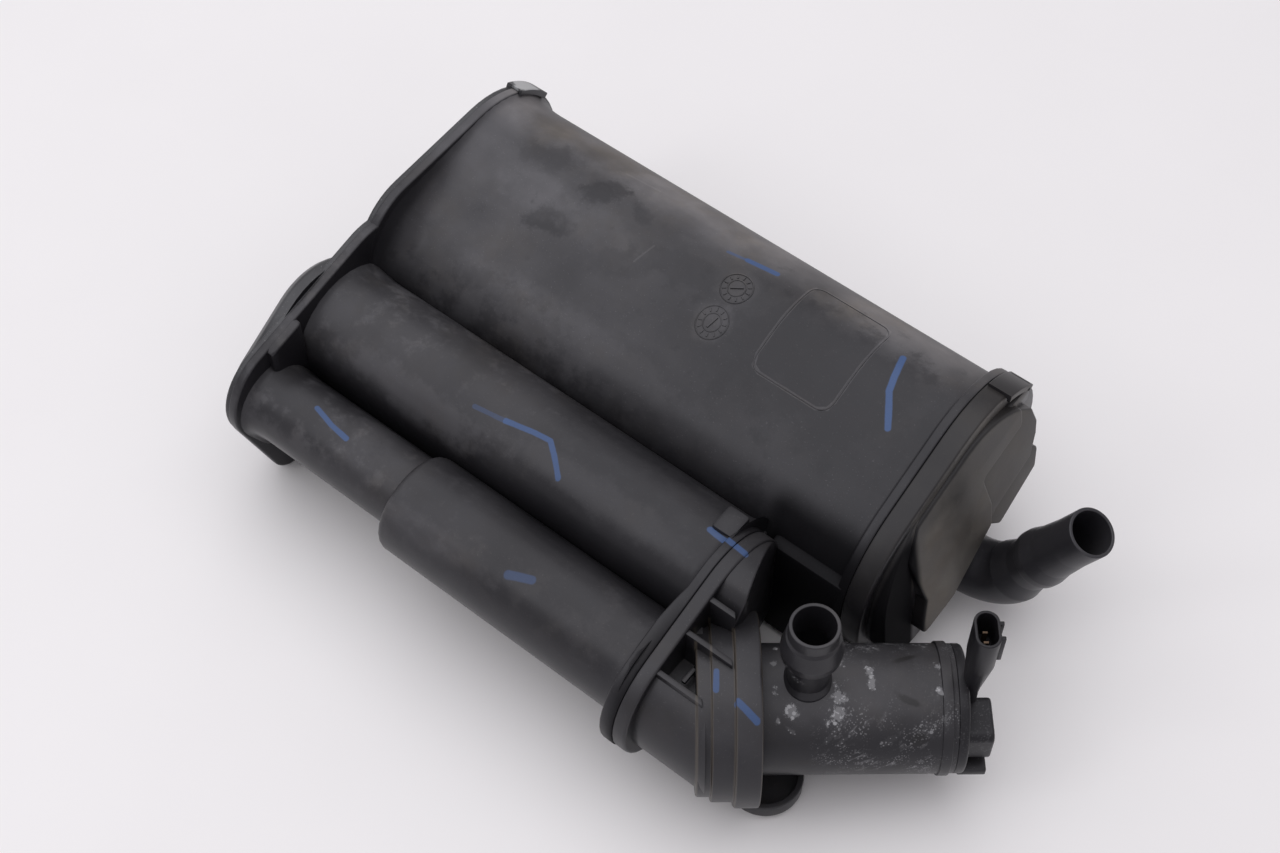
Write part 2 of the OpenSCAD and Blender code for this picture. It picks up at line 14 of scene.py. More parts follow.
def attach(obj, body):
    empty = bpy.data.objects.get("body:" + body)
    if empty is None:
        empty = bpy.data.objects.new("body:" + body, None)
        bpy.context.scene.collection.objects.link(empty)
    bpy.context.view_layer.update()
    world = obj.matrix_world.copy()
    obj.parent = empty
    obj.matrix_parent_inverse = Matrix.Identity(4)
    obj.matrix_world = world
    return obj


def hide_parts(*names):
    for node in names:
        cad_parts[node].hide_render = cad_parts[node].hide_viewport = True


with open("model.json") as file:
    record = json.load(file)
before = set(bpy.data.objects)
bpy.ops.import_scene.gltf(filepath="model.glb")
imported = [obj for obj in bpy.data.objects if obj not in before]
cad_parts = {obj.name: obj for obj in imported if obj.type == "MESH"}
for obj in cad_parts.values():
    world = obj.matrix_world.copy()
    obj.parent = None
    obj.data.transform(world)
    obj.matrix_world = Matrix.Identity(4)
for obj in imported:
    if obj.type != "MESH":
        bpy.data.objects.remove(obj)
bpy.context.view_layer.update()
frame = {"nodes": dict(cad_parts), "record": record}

LOG = logging.getLogger("canister")
BODY = "canister"
# Design millimetres count from the rear weld plane and the middle of the big chamber
CENTRE = Vector((153.78656746794456, -45.75, 0.0))
MM_PER_METRE = 1000.0
# Millimetres below this count as none
TINY = 1e-6
# Metres within which the points of a finished mesh merge
WELD = 1e-7
# A rounding takes at most this share of each side, and half its angle is at least this many radians
SIDE_SHARE = 0.48
SHARPEST = 0.05
# Sides that meet at a wider angle than this run straight on
STRAIGHT = math.radians(165)

Point = tuple[float, float]
Corner = tuple[float, float, float]
Colour = tuple[float, float, float]


def to_frame(point: Sequence[float]) -> Vector:
    """Turn design millimetres into metres of the part's frame."""
    return (Vector(point) - CENTRE) / MM_PER_METRE


def new_object(name: str, data: Any) -> bpy.types.Object:
    """Make an object and link it to the scene.

    Args:
        name: name of the object.
        data: its mesh, lamp or camera.

    Returns:
        The new object at the origin.
    """
    made = bpy.data.objects.new(name, data)
    bpy.context.scene.collection.objects.link(made)
    return made


def clamp(value: float) -> float:
    """Keep a share between 0 and 1."""
    return max(0.0, min(1.0, value))


def circle(sides: int) -> list[Point]:
    """Points of a circle of radius 1."""
    return [(math.cos(math.tau * k / sides), math.sin(math.tau * k / sides)) for k in range(sides)]


def spin_z(angle: float) -> Matrix:
    """Turn about Z by degrees."""
    return Matrix.Rotation(math.radians(angle), 4, "Z")


def lift(height: float) -> Matrix:
    """Move along Z."""
    return Matrix.Translation((0, 0, height))


# Place of a shape that is already where it belongs, and the turn that lays an upright axis along X
UNMOVED = Matrix.Identity(4)
LYING = Matrix.Rotation(math.radians(90), 4, "Y")


def bend(before: Vector, here: Vector, after: Vector, radius: float, steps: int) -> list[Point]:
    """Points of a rounded corner.

    Args:
        before: the point before the corner.
        here: the corner itself.
        after: the point after the corner.
        radius: radius of the rounding; none at zero.
        steps: pieces of the rounding.

    Returns:
        The points that stand for the corner.
    """
    back, ahead = before - here, after - here
    if radius <= 0 or back.length < TINY or ahead.length < TINY:
        return [(here.x, here.y)]
    half = max(back.angle(ahead) / 2, SHARPEST)
    reach = min(radius / math.tan(half), SIDE_SHARE * back.length, SIDE_SHARE * ahead.length)
    start, end = here + back.normalized() * reach, here + ahead.normalized() * reach
    points = []
    for k in range(steps + 1):
        t = k / steps
        p = start * (1 - t) ** 2 + here * 2 * t * (1 - t) + end * t ** 2
        points.append((p.x, p.y))
    return points


def soften(corners: Sequence[Corner], steps: int = 4) -> list[Point]:
    """Round the inner corners of an open profile.

    Args:
        corners: points of the profile, each with the radius of its rounding.
        steps: pieces of each rounding.

    Returns:
        The points of the rounded profile.
    """
    points = [corners[0][:2]]
    for before, corner, after in zip(corners, corners[1:], corners[2:]):
        points += bend(Vector(before[:2]), Vector(corner[:2]), Vector(after[:2]), corner[2], steps)
    return points + [corners[-1][:2]]


def soften_ring(points: Sequence[Point], radius: float, steps: int = 4) -> list[Point]:
    """Round the corners of a closed outline, leaving nearly straight ones as they are.

    Args:
        points: the outline.
        radius: radius of each rounding.
        steps: pieces of each rounding.

    Returns:
        The points of the rounded outline.
    """
    spots = [Vector(p) for p in points]
    ring: list[Point] = []
    for i, here in enumerate(spots):
        before, after = spots[i - 1], spots[(i + 1) % len(spots)]
        straight = (before - here).angle(after - here) > STRAIGHT
        ring += bend(before, here, after, 0.0 if straight else radius, steps)
    return ring


def fenced(points: Sequence[Point], fence: Sequence[Point]) -> list[Point]:
    """Cut an outline with a convex fence, both counter-clockwise.

    Args:
        points: the outline.
        fence: the convex outline that bounds it.

    Returns:
        The part of the outline inside the fence.
    """
    kept = list(points)
    for (ay, az), (by, bz) in zip(fence, list(fence[1:]) + list(fence[:1])):
        sides = [(by - ay) * (z - az) - (bz - az) * (y - ay) for y, z in kept]
        cut: list[Point] = []
        for i, (y, z) in enumerate(kept):
            j = (i + 1) % len(kept)
            if sides[i] >= 0:
                cut.append((y, z))
            if sides[i] * sides[j] < 0:
                t = sides[i] / (sides[i] - sides[j])
                cut.append((y + (kept[j][0] - y) * t, z + (kept[j][1] - z) * t))
        kept = cut
    return kept


@dataclass(frozen=True)
class Section:
    """Closed Y-Z section of corner circles joined by straight sides, counter-clockwise from the front."""

    circles: tuple[Corner, ...]

    def normal(self, i: int) -> float:
        """Angle of the outward direction of the side from corner i to the next."""
        (y, z, r), (y2, z2, r2) = self.circles[i], self.circles[(i + 1) % len(self.circles)]
        return math.atan2(z2 - z, y2 - y) - math.acos((r - r2) / math.hypot(y2 - y, z2 - z))

    def ring(self, grow: float = 0.0, arc: int = 14, straight: int = 5) -> list[Point]:
        """Points around the section.

        Args:
            grow: distance by which the section is grown.
            arc: pieces of each corner.
            straight: pieces of each straight side.

        Returns:
            The points as (y, z) pairs.
        """
        count = len(self.circles)
        normals = [self.normal(i) for i in range(count)]
        points: list[Point] = []
        for i, (y, z, r) in enumerate(self.circles):
            sweep = (normals[i] - normals[i - 1]) % math.tau
            for k in range(arc + 1):
                a = normals[i - 1] + sweep * k / arc
                points.append((y + (r + grow) * math.cos(a), z + (r + grow) * math.sin(a)))
            y2, z2, r2 = self.circles[(i + 1) % count]
            head = Vector(points[-1])
            tail = Vector((y2 + (r2 + grow) * math.cos(normals[i]), z2 + (r2 + grow) * math.sin(normals[i])))
            for k in range(1, straight):
                p = head.lerp(tail, k / straight)
                points.append((p.x, p.y))
        return points

    def mix(self, other: "Section", share: float) -> "Section":
        """Section between this one and another with as many corners."""
        return Section(tuple(tuple(a + (b - a) * share for a, b in zip(p, q))
                             for p, q in zip(self.circles, other.circles)))

    def top(self, y: float, grow: float = 0.0) -> float:
        """Height of the section's upper side.

        Args:
            y: place across the section.
            grow: distance by which the section is grown.

        Returns:
            The height at that place.
        """
        points = self.ring(grow, 48, 4)
        heights = []
        for (y1, z1), (y2, z2) in zip(points, points[1:] + points[:1]):
            if min(y1, y2) <= y <= max(y1, y2) and abs(y2 - y1) > TINY:
                heights.append(z1 + (z2 - z1) * (y - y1) / (y2 - y1))
        return max(heights)


# Chambers, the two halves of the rear rim, the rear cover's bulge and the adapter's plate
BIG = Section(((16.0, 63.0, 38.5), (-16.0, 49.5, 38.5), (-16.0, 42.5, 38.5), (16.0, 42.5, 38.5)))
MID = Section(((-76.5, 55.5, 25.0), (-76.5, 30.0, 25.0)))
SMALL = Section(((-120.5, 50.0, 16.0), (-114.5, 38.0, 16.0)))
WIDE = Section(((-122.5, 49.5, 21.5), (-116.0, 38.0, 21.5)))
REAR_HIGH = Section(((16.0, 63.0, 42.5), (-32.0, 74.0, 28.0), (-16.0, 42.5, 42.5), (16.0, 42.5, 42.5)))
REAR_LOW = Section(((-55.5, 67.0, 27.0), (-116.5, 53.5, 25.0), (-115.5, 12.6, 12.6), (-8.0, 20.0, 20.0)))
REAR_BULGE = Section(((-84.5, 60.0, 23.0), (-112.5, 50.0, 17.0), (-109.5, 22.0, 12.0), (-76.5, 28.0, 18.0)))
VENT_RIM = Section(((-83.5, 55.5, 29.0), (-120.0, 42.0, 30.0), (-83.5, 29.0, 29.0)))
# Axis along X through the big chamber's upper far corner, for what bends round it
FAR_CORNER = Matrix(((0, 0, 1, 0), (1, 0, 0, BIG.circles[0][0]), (0, 1, 0, BIG.circles[0][1]), (0, 0, 0, 1)))


class MeshMaker:
    """Collects closed shells in design millimetres and turns them into one object."""

    def __init__(self) -> None:
        """Start with no shells."""
        self.mesh = bmesh.new()

    def loft(self, rings: Sequence[Sequence[Sequence[float]]]) -> None:
        """Skin rings of as many points each and close both ends.

        Args:
            rings: the rings in order, each a row of points.
        """
        rows = [[self.mesh.verts.new(p) for p in ring] for ring in rings]
        for a, b in zip(rows, rows[1:]):
            for i in range(len(a)):
                j = (i + 1) % len(a)
                self.mesh.faces.new((a[i], a[j], b[j], b[i]))
        self.mesh.faces.new(list(reversed(rows[0])))
        self.mesh.faces.new(rows[-1])

    def prism(self, section: Section, profile: Sequence[Point],
              shift: Optional[Callable[[float, float, float], float]] = None, arc: int = 14) -> None:
        """Skin a section along X with a profile of (x, grow) pairs.

        Args:
            section: the Y-Z section.
            profile: places along X with the growth of the section there.
            shift: gives the true x from the profile's x and a point's y and z.
            arc: pieces of each corner of the section.
        """
        move = shift or (lambda x, y, z: x)
        self.loft([[(move(x, y, z), y, z) for y, z in section.ring(grow, arc)] for x, grow in profile])

    def slab(self, outline: Sequence[Point], base: float, face: Callable[[float, float], float],
             edge: float, steps: int = 5) -> None:
        """Raise an outline along X up to a slanted face with a rounded edge.

        Args:
            outline: counter-clockwise (y, z) points.
            base: x of its foot.
            face: gives the face's x at a point.
            edge: radius of the rounded edge.
            steps: pieces of that edge.
        """
        spots = [Vector(p) for p in outline]
        inward = []
        for i in range(len(spots)):
            run = (spots[(i + 1) % len(spots)] - spots[i - 1]).normalized()
            inward.append(Vector((-run.y, run.x)))
        rings = [[(base, p.x, p.y) for p in spots]]
        for k in range(steps + 1):
            a = math.pi / 2 * k / steps
            moved = [p + n * edge * (1 - math.cos(a)) for p, n in zip(spots, inward)]
            rings.append([(face(p.x, p.y) - edge * (1 - math.sin(a)), p.x, p.y) for p in moved])
        self.loft(rings)

    def ridge(self, stations: Sequence[tuple[float, float, float, float, float]], edge: float) -> None:
        """Skin upright walls across Y with a rounded upper front edge.

        Args:
            stations: y with the low x, high x, low z and high z of the wall there.
            edge: radius of the upper front edge.
        """
        rings = []
        for y, x0, x1, z0, z1 in stations:
            top = soften([(x1, z0, 0), (x1, z1, edge), (x0, z1, 0)], 3)
            rings.append([(x0, y, z0)] + [(x, y, z) for x, z in top])
        self.loft(rings)

    def turn(self, place: Matrix, profile: Sequence[Point], sides: int = 96,
             clip: Optional[Callable[[Vector], Vector]] = None) -> None:
        """Spin a profile of (height, radius) pairs about the Z axis of a place.

        Args:
            place: the matrix of the axis.
            profile: heights and radii from one end to the other.
            sides: pieces around.
            clip: moves each finished point, such as onto a plane that cuts the shape.
        """
        rings = []
        for height, radius in profile:
            ring = [place @ Vector((radius * c, radius * s, height)) for c, s in circle(sides)]
            rings.append([clip(p) for p in ring] if clip else ring)
        self.loft(rings)

    def sector(self, place: Matrix, profile: Sequence[Point], start: float, end: float,
               steps: int = 16) -> None:
        """Spin a closed profile of (height, radius) pairs part of the way round.

        Args:
            place: the matrix of the axis.
            profile: heights and radii around the profile.
            start: angle at its start, in degrees.
            end: angle at its end, in degrees.
            steps: pieces of the sweep.
        """
        rings = []
        for k in range(steps + 1):
            a = math.radians(start + (end - start) * k / steps)
            rings.append([place @ Vector((r * math.cos(a), r * math.sin(a), h)) for h, r in profile])
        self.loft(rings)

    def block(self, place: Matrix, low: Sequence[float], high: Sequence[float], round_r: float = 0.6,
              reshape: Optional[Callable[[Vector], Vector]] = None) -> None:
        """Add a box with rounded edges.

        Args:
            place: the matrix of the box.
            low: its lowest corner.
            high: its highest corner.
            round_r: radius of its edges.
            reshape: moves each corner before the edges are rounded.
        """
        part = bmesh.new()
        bmesh.ops.create_cube(part, size=1.0)
        for v in part.verts:
            v.co = Vector([l + (h - l) * (c + 0.5) for l, h, c in zip(low, high, v.co)])
            if reshape:
                v.co = reshape(v.co)
        bmesh.ops.bevel(part, geom=part.edges[:], offset=round_r, offset_type="OFFSET", segments=2,
                        profile=0.5, affect="EDGES", clamp_overlap=True)
        self.add(part, lambda p: place @ p)

    def add(self, part: bmesh.types.BMesh, place: Callable[[Vector], Vector]) -> None:
        """Add finished shells and free them.

        Args:
            part: the shells.
            place: gives each point's place in design millimetres.
        """
        lookup = {v: self.mesh.verts.new(place(v.co)) for v in part.verts}
        for f in part.faces:
            self.mesh.faces.new([lookup[v] for v in f.verts])
        part.free()

    def finish(self, name: str, sharp: float = 38.0) -> bpy.types.Object:
        """Turn the shells into one object in the part's frame.

        Args:
            name: name of the object.
            sharp: angle in degrees over which an edge stays sharp.

        Returns:
            The new object, linked to the scene.
        """
        for v in self.mesh.verts:
            v.co = to_frame(v.co)
        bmesh.ops.remove_doubles(self.mesh, verts=self.mesh.verts[:], dist=WELD)
        bmesh.ops.recalc_face_normals(self.mesh, faces=self.mesh.faces[:])
        for f in self.mesh.faces:
            f.smooth = True
        for e in self.mesh.edges:
            if len(e.link_faces) == 2 and e.calc_face_angle() > math.radians(sharp):
                e.smooth = False
        data = bpy.data.meshes.new(name)
        self.mesh.to_mesh(data)
        self.mesh.free()
        return new_object(name, data)


class NodeTree:
    """Builds a node tree through one method that makes any node."""

    def __init__(self, tree: bpy.types.NodeTree) -> None:
        """Take an empty tree."""
        self.tree = tree

    def node(self, kind: str, settings: Optional[dict[str, Any]] = None,
             inputs: Optional[dict[Union[str, int], Any]] = None) -> bpy.types.Node:
        """Make a node.

        Args:
            kind: the node's type.
            settings: its own properties, set first.
            inputs: values or links of its sockets; a list links several.

        Returns:
            The new node.
        """
        made = self.tree.nodes.new(kind)
        for key, value in (settings or {}).items():
            setattr(made, key, value)
        for key, value in (inputs or {}).items():
            for one in value if isinstance(value, list) else [value]:
                if isinstance(one, (Socket, bpy.types.NodeSocket)):
                    self.tree.links.new(one.link if isinstance(one, Socket) else one, made.inputs[key])
                else:
                    made.inputs[key].default_value = one
        return made

    def value(self, kind: str, output: Union[str, int] = 0, settings: Optional[dict[str, Any]] = None,
              inputs: Optional[dict[Union[str, int], Any]] = None) -> "Socket":
        """Make a node and wrap one of its outputs."""
        return Socket(self, self.node(kind, settings, inputs).outputs[output])


Number = Union["Socket", float]


class Socket:
    """A value in a node tree whose operators add Math nodes."""

    def __init__(self, owner: NodeTree, link: bpy.types.NodeSocket) -> None:
        """Wrap an output socket."""
        self.owner = owner
        self.link = link

    def math(self, operation: str, *values: Number) -> "Socket":
        """Apply a Math node to values."""
        return self.owner.value("ShaderNodeMath", 0, {"operation": operation}, dict(enumerate(values)))

    def __add__(self, other: Number) -> "Socket":
        """Sum."""
        return self.math("ADD", self, other)

    def __radd__(self, other: Number) -> "Socket":
        """Reflected sum."""
        return self.math("ADD", other, self)

    def __sub__(self, other: Number) -> "Socket":
        """Difference."""
        return self.math("SUBTRACT", self, other)

    def __rsub__(self, other: Number) -> "Socket":
        """Reflected difference."""
        return self.math("SUBTRACT", other, self)

    def __mul__(self, other: Number) -> "Socket":
        """Product."""
        return self.math("MULTIPLY", self, other)

    def __rmul__(self, other: Number) -> "Socket":
        """Reflected product."""
        return self.math("MULTIPLY", other, self)

    def __truediv__(self, other: Number) -> "Socket":
        """Quotient."""
        return self.math("DIVIDE", self, other)

    def __rtruediv__(self, other: Number) -> "Socket":
        """Reflected quotient."""
        return self.math("DIVIDE", other, self)

    def __abs__(self) -> "Socket":
        """Size without sign."""
        return self.math("ABSOLUTE", self)

    def larger(self, other: Number) -> "Socket":
        """Larger of two values."""
        return self.math("MAXIMUM", self, other)

    def smaller(self, other: Number) -> "Socket":
        """Smaller of two values."""
        return self.math("MINIMUM", self, other)

    def root(self) -> "Socket":
        """Square root."""
        return self.math("SQRT", self)

    def step(self, low: float, high: float) -> "Socket":
        """Smooth step from 0 at low to 1 at high; low may be the larger."""
        return self.owner.value("ShaderNodeMapRange", 0, {"interpolation_type": "SMOOTHSTEP"},
                                {"Value": self, "From Min": low, "From Max": high})


class ReliefTree(NodeTree):
    """Geometry node tree of flat relief in millimetres, with named inputs."""

    def __init__(self, name: str, sizes: dict[str, float]) -> None:
        """Start a tree with a number input for each size, and a material input.

        Args:
            name: name of the tree.
            sizes: names of the sizes with their usual values.
        """
        super().__init__(bpy.data.node_groups.new(name, "GeometryNodeTree"))
        face = self.tree.interface
        face.new_socket("Geometry", in_out="OUTPUT", socket_type="NodeSocketGeometry")
        self.keys: dict[str, str] = {}
        for label, size in sizes.items():
            item = face.new_socket(label, in_out="INPUT", socket_type="NodeSocketFloat")
            item.default_value = size
            self.keys[label] = item.identifier
        self.keys["Material"] = face.new_socket("Material", in_out="INPUT",
                                                socket_type="NodeSocketMaterial").identifier
        self.given = self.node("NodeGroupInput").outputs

    def size(self, label: str) -> Socket:
        """Number input as a value."""
        return Socket(self, self.given[label])

    def circle(self, radius: Number, count: int) -> bpy.types.NodeSocket:
        """Closed circle curve."""
        return self.node("GeometryNodeCurvePrimitiveCircle", None,
                         {"Resolution": count, "Radius": radius}).outputs[0]

    def bead(self, path: bpy.types.NodeSocket, radius: Number) -> bpy.types.NodeSocket:
        """Round bead along a curve."""
        return self.node("GeometryNodeCurveToMesh", None,
                         {"Curve": path, "Profile Curve": self.circle(radius, 8)}).outputs[0]

    def close(self, *parts: bpy.types.NodeSocket) -> None:
        """Join the parts, realize them and set their material.

        Args:
            parts: geometry outputs of the tree.
        """
        joined = self.node("GeometryNodeJoinGeometry", None, {0: list(parts)})
        real = self.node("GeometryNodeRealizeInstances", None, {0: joined.outputs[0]})
        done = self.node("GeometryNodeSetMaterial", None,
                         {"Geometry": real.outputs[0], "Material": self.given["Material"]})
        self.node("NodeGroupOutput", None, {0: done.outputs[0]})

    def relief(self, material: bpy.types.Material, **sizes: float) -> bmesh.types.BMesh:
        """Evaluate the tree.

        Args:
            material: material of the relief.
            sizes: values for the named inputs.

        Returns:
            The shells as a mesh of their own.
        """
        holder = new_object(self.tree.name, bpy.data.meshes.new(self.tree.name))
        modifier = holder.modifiers.new("relief", "NODES")
        modifier.node_group = self.tree
        for label, entry in {**sizes, "Material": material}.items():
            modifier[self.keys[label]] = entry
        made = bpy.data.meshes.new_from_object(holder.evaluated_get(bpy.context.evaluated_depsgraph_get()))
        holder.modifiers.remove(modifier)
        bpy.data.objects.remove(holder)
        shells = bmesh.new()
        shells.from_mesh(made)
        bpy.data.meshes.remove(made)
        return shells


class DialTree(ReliefTree):
    """Moulded date dial: two rings, plain ticks between them and a bar across the middle."""

    tick_count = 12
    tick_ring = 0.77
    inner_ring = 0.55
    tick_size = (0.5, 1.5, 0.6)
    bar_size = (5.2, 0.8, 0.9)

    def __init__(self) -> None:
        """Build the tree, with its rings as shares of the radius."""
        super().__init__("date_dial", {"Radius": 6.5, "Bead": 0.3})
        radius, thin = self.size("Radius"), self.size("Bead")
        between = self.circle(radius * self.tick_ring, self.tick_count)
        tangent = self.node("GeometryNodeInputTangent").outputs[0]
        facing = self.node("FunctionNodeAlignRotationToVector", {"axis": "X"}, {"Vector": tangent}).outputs[0]
        tick = self.node("GeometryNodeMeshCube", None, {"Size": self.tick_size}).outputs[0]
        ticks = self.node("GeometryNodeInstanceOnPoints", None,
                          {"Points": between, "Instance": tick, "Rotation": facing}).outputs[0]
        bar = self.node("GeometryNodeMeshCube", None, {"Size": self.bar_size}).outputs[0]
        outer = self.bead(self.circle(radius, 48), thin)
        inner = self.bead(self.circle(radius * self.inner_ring, 36), thin)
        self.close(outer, inner, ticks, bar)


class FrameTree(ReliefTree):
    """Thin raised frame with rounded corners, in short pieces that follow the wall under it."""

    spacing = 1.2

    def __init__(self) -> None:
        """Build the tree."""
        super().__init__("bare_frame", {"Length": 37.0, "Width": 45.0, "Corner": 5.0, "Bead": 0.35})
        box = self.node("GeometryNodeCurvePrimitiveQuadrilateral", {"mode": "RECTANGLE"},
                        {"Width": self.size("Length"), "Height": self.size("Width")}).outputs[0]
        rounded = self.node("GeometryNodeFilletCurve", {"mode": "POLY"},
                            {"Curve": box, "Count": 6, "Radius": self.size("Corner")}).outputs[0]
        path = self.node("GeometryNodeResampleCurve", {"mode": "LENGTH"},
                         {"Curve": rounded, "Length": self.spacing}).outputs[0]
        self.close(self.bead(path, self.size("Bead")))


class Sheen(Enum):
    """Named kinds of bare inner materials."""

    METAL = 1.0
    PLAIN = 0.0


@dataclass(frozen=True)
class Stroke:
    """Paint-marker line seen from above, in design millimetres."""

    points: tuple[Point, ...]
    width: float = 1.5
    cover: float = 0.9


@dataclass(frozen=True)
class Smudge:
    """Soft-edged patch in two coordinates, in design millimetres."""

    centre: Point
    reach: Point
    turn: float = 0.0
    strength: float = 0.8


class ShaderTree(NodeTree):
    """Material under construction, with the patterns that the finishes share."""

    mirror_tint = (0.94, 0.94, 1.0, 1.0)
    # Black of the painted shade in gaps and pockets
    shade_black = (0.008, 0.0078, 0.009, 1.0)
    bump_height = 0.0004

    def __init__(self, name: str) -> None:
        """Start a material with an empty tree and coordinates in design millimetres.

        Args:
            name: name of the material.
        """
        self.material = bpy.data.materials.new(name)
        self.material.use_nodes = True
        self.material.node_tree.nodes.clear()
        super().__init__(self.material.node_tree)
        source = self.node("ShaderNodeTexCoord")
        self.place = Socket(self, source.outputs["Object"])
        axes = self.node("ShaderNodeSeparateXYZ", None, {0: self.place})
        self.x, self.y, self.z = (Socket(self, axes.outputs[k]) * MM_PER_METRE + CENTRE[k] for k in range(3))
        facing = self.node("ShaderNodeSeparateXYZ", None, {0: source.outputs["Normal"]})
        self.ahead, self.side, self.up = (Socket(self, facing.outputs[k]) for k in range(3))

    def clouds(self, scale: float, detail: float = 4.0, stretch: Sequence[float] = (1, 1, 1),
               shift: float = 0.0, rough: float = 0.55, turn: float = 0.0) -> Socket:
        """Noise from 0 to 1 on object coordinates.

        Args:
            scale: features per metre.
            detail: octaves.
            stretch: scale along each axis.
            shift: offset that makes a second pattern differ.
            rough: strength of the finer octaves.
            turn: turn of the pattern about Z, in degrees.

        Returns:
            The noise value.
        """
        spot = self.value("ShaderNodeMapping", 0, None, {
            "Vector": self.place, "Location": (shift, shift * 0.7, -shift),
            "Rotation": (0.0, 0.0, math.radians(turn)), "Scale": tuple(stretch)})
        return self.value("ShaderNodeTexNoise", 0, None,
                          {"Vector": spot, "Scale": scale, "Detail": detail, "Roughness": rough})

    def mix(self, share: Number, a: Any, b: Any) -> Socket:
        """Mix two colours."""
        pick = [(*c, 1.0) if isinstance(c, tuple) else c for c in (a, b)]
        return self.value("ShaderNodeMix", 2, {"data_type": "RGBA"}, {0: share, 6: pick[0], 7: pick[1]})

    def pair(self, first: Socket, second: Socket) -> Socket:
        """Join two values into a vector."""
        return self.value("ShaderNodeCombineXYZ", 0, None, {0: first, 1: second})

    def line(self, stroke: Stroke, wobble: Socket) -> Socket:
        """Mask of a paint-marker line with an uneven edge.

        Args:
            stroke: the line.
            wobble: unevenness of its edge.

        Returns:
            The mask, from 0 to the line's cover.
        """
        nearest: Optional[Socket] = None
        for (ax, ay), (bx, by) in zip(stroke.points, stroke.points[1:]):
            dx, dy = bx - ax, by - ay
            px, py = self.x - ax, self.y - ay
            along = ((px * dx + py * dy) / (dx * dx + dy * dy)).larger(0.0).smaller(1.0)
            ex, ey = px - along * dx, py - along * dy
            away = (ex * ex + ey * ey).root()
            nearest = away if nearest is None else nearest.smaller(away)
        return (nearest + wobble * 0.5).step(stroke.width, stroke.width * 0.65) * stroke.cover

    def patch(self, smudge: Smudge, wobble: Socket, across: Optional[tuple[Socket, Socket]] = None) -> Socket:
        """Mask of a smudge with a ragged edge.

        Args:
            smudge: the patch.
            wobble: raggedness of its edge.
            across: the two coordinates it lies in; seen from above if none are given.

        Returns:
            The mask, from 0 to the smudge's strength.
        """
        first, second = across or (self.x, self.y)
        c, s = math.cos(math.radians(smudge.turn)), math.sin(math.radians(smudge.turn))
        px, py = first - smudge.centre[0], second - smudge.centre[1]
        u = (px * c + py * s) * (1 / smudge.reach[0])
        v = (py * c - px * s) * (1 / smudge.reach[1])
        return ((u * u + v * v).root() + wobble).step(1.4, 0.6) * smudge.strength

    def close(self, colour: Any, rough: Any, bump: Optional[Socket] = None, strength: float = 0.1,
              metal: float = 0.0, painted_shade: Optional[Socket] = None, shine: float = 0.5) -> bpy.types.Material:
        """End the tree in a shader.

        Args:
            colour: base colour or its socket.
            rough: roughness or its socket.
            bump: height for a bump, if any.
            strength: strength of that bump.
            metal: metallic value.
            painted_shade: share of matt black painted shade over the surface, if any.
            shine: level of the mirror part.

        Returns:
            The finished material.
        """
        inputs: dict[Union[str, int], Any] = {
            "Base Color": (*colour, 1.0) if isinstance(colour, tuple) else colour,
            "Roughness": rough, "Metallic": metal, "Specular IOR Level": shine,
            "Specular Tint": self.mirror_tint}
        if bump is not None:
            inputs["Normal"] = self.value("ShaderNodeBump", 0, None, {
                "Strength": strength, "Distance": self.bump_height, "Height": bump})
        shader = self.node("ShaderNodeBsdfPrincipled", None, inputs)
        # Mix towards matt black where shade is painted into gaps and pockets
        if painted_shade is not None:
            matt = self.node("ShaderNodeBsdfDiffuse", None, {"Color": self.shade_black})
            shader = self.node("ShaderNodeMixShader", None,
                               {0: painted_shade, 1: shader.outputs[0], 2: matt.outputs[0]})
        self.node("ShaderNodeOutputMaterial", None, {"Surface": shader.outputs[0]})
        return self.material


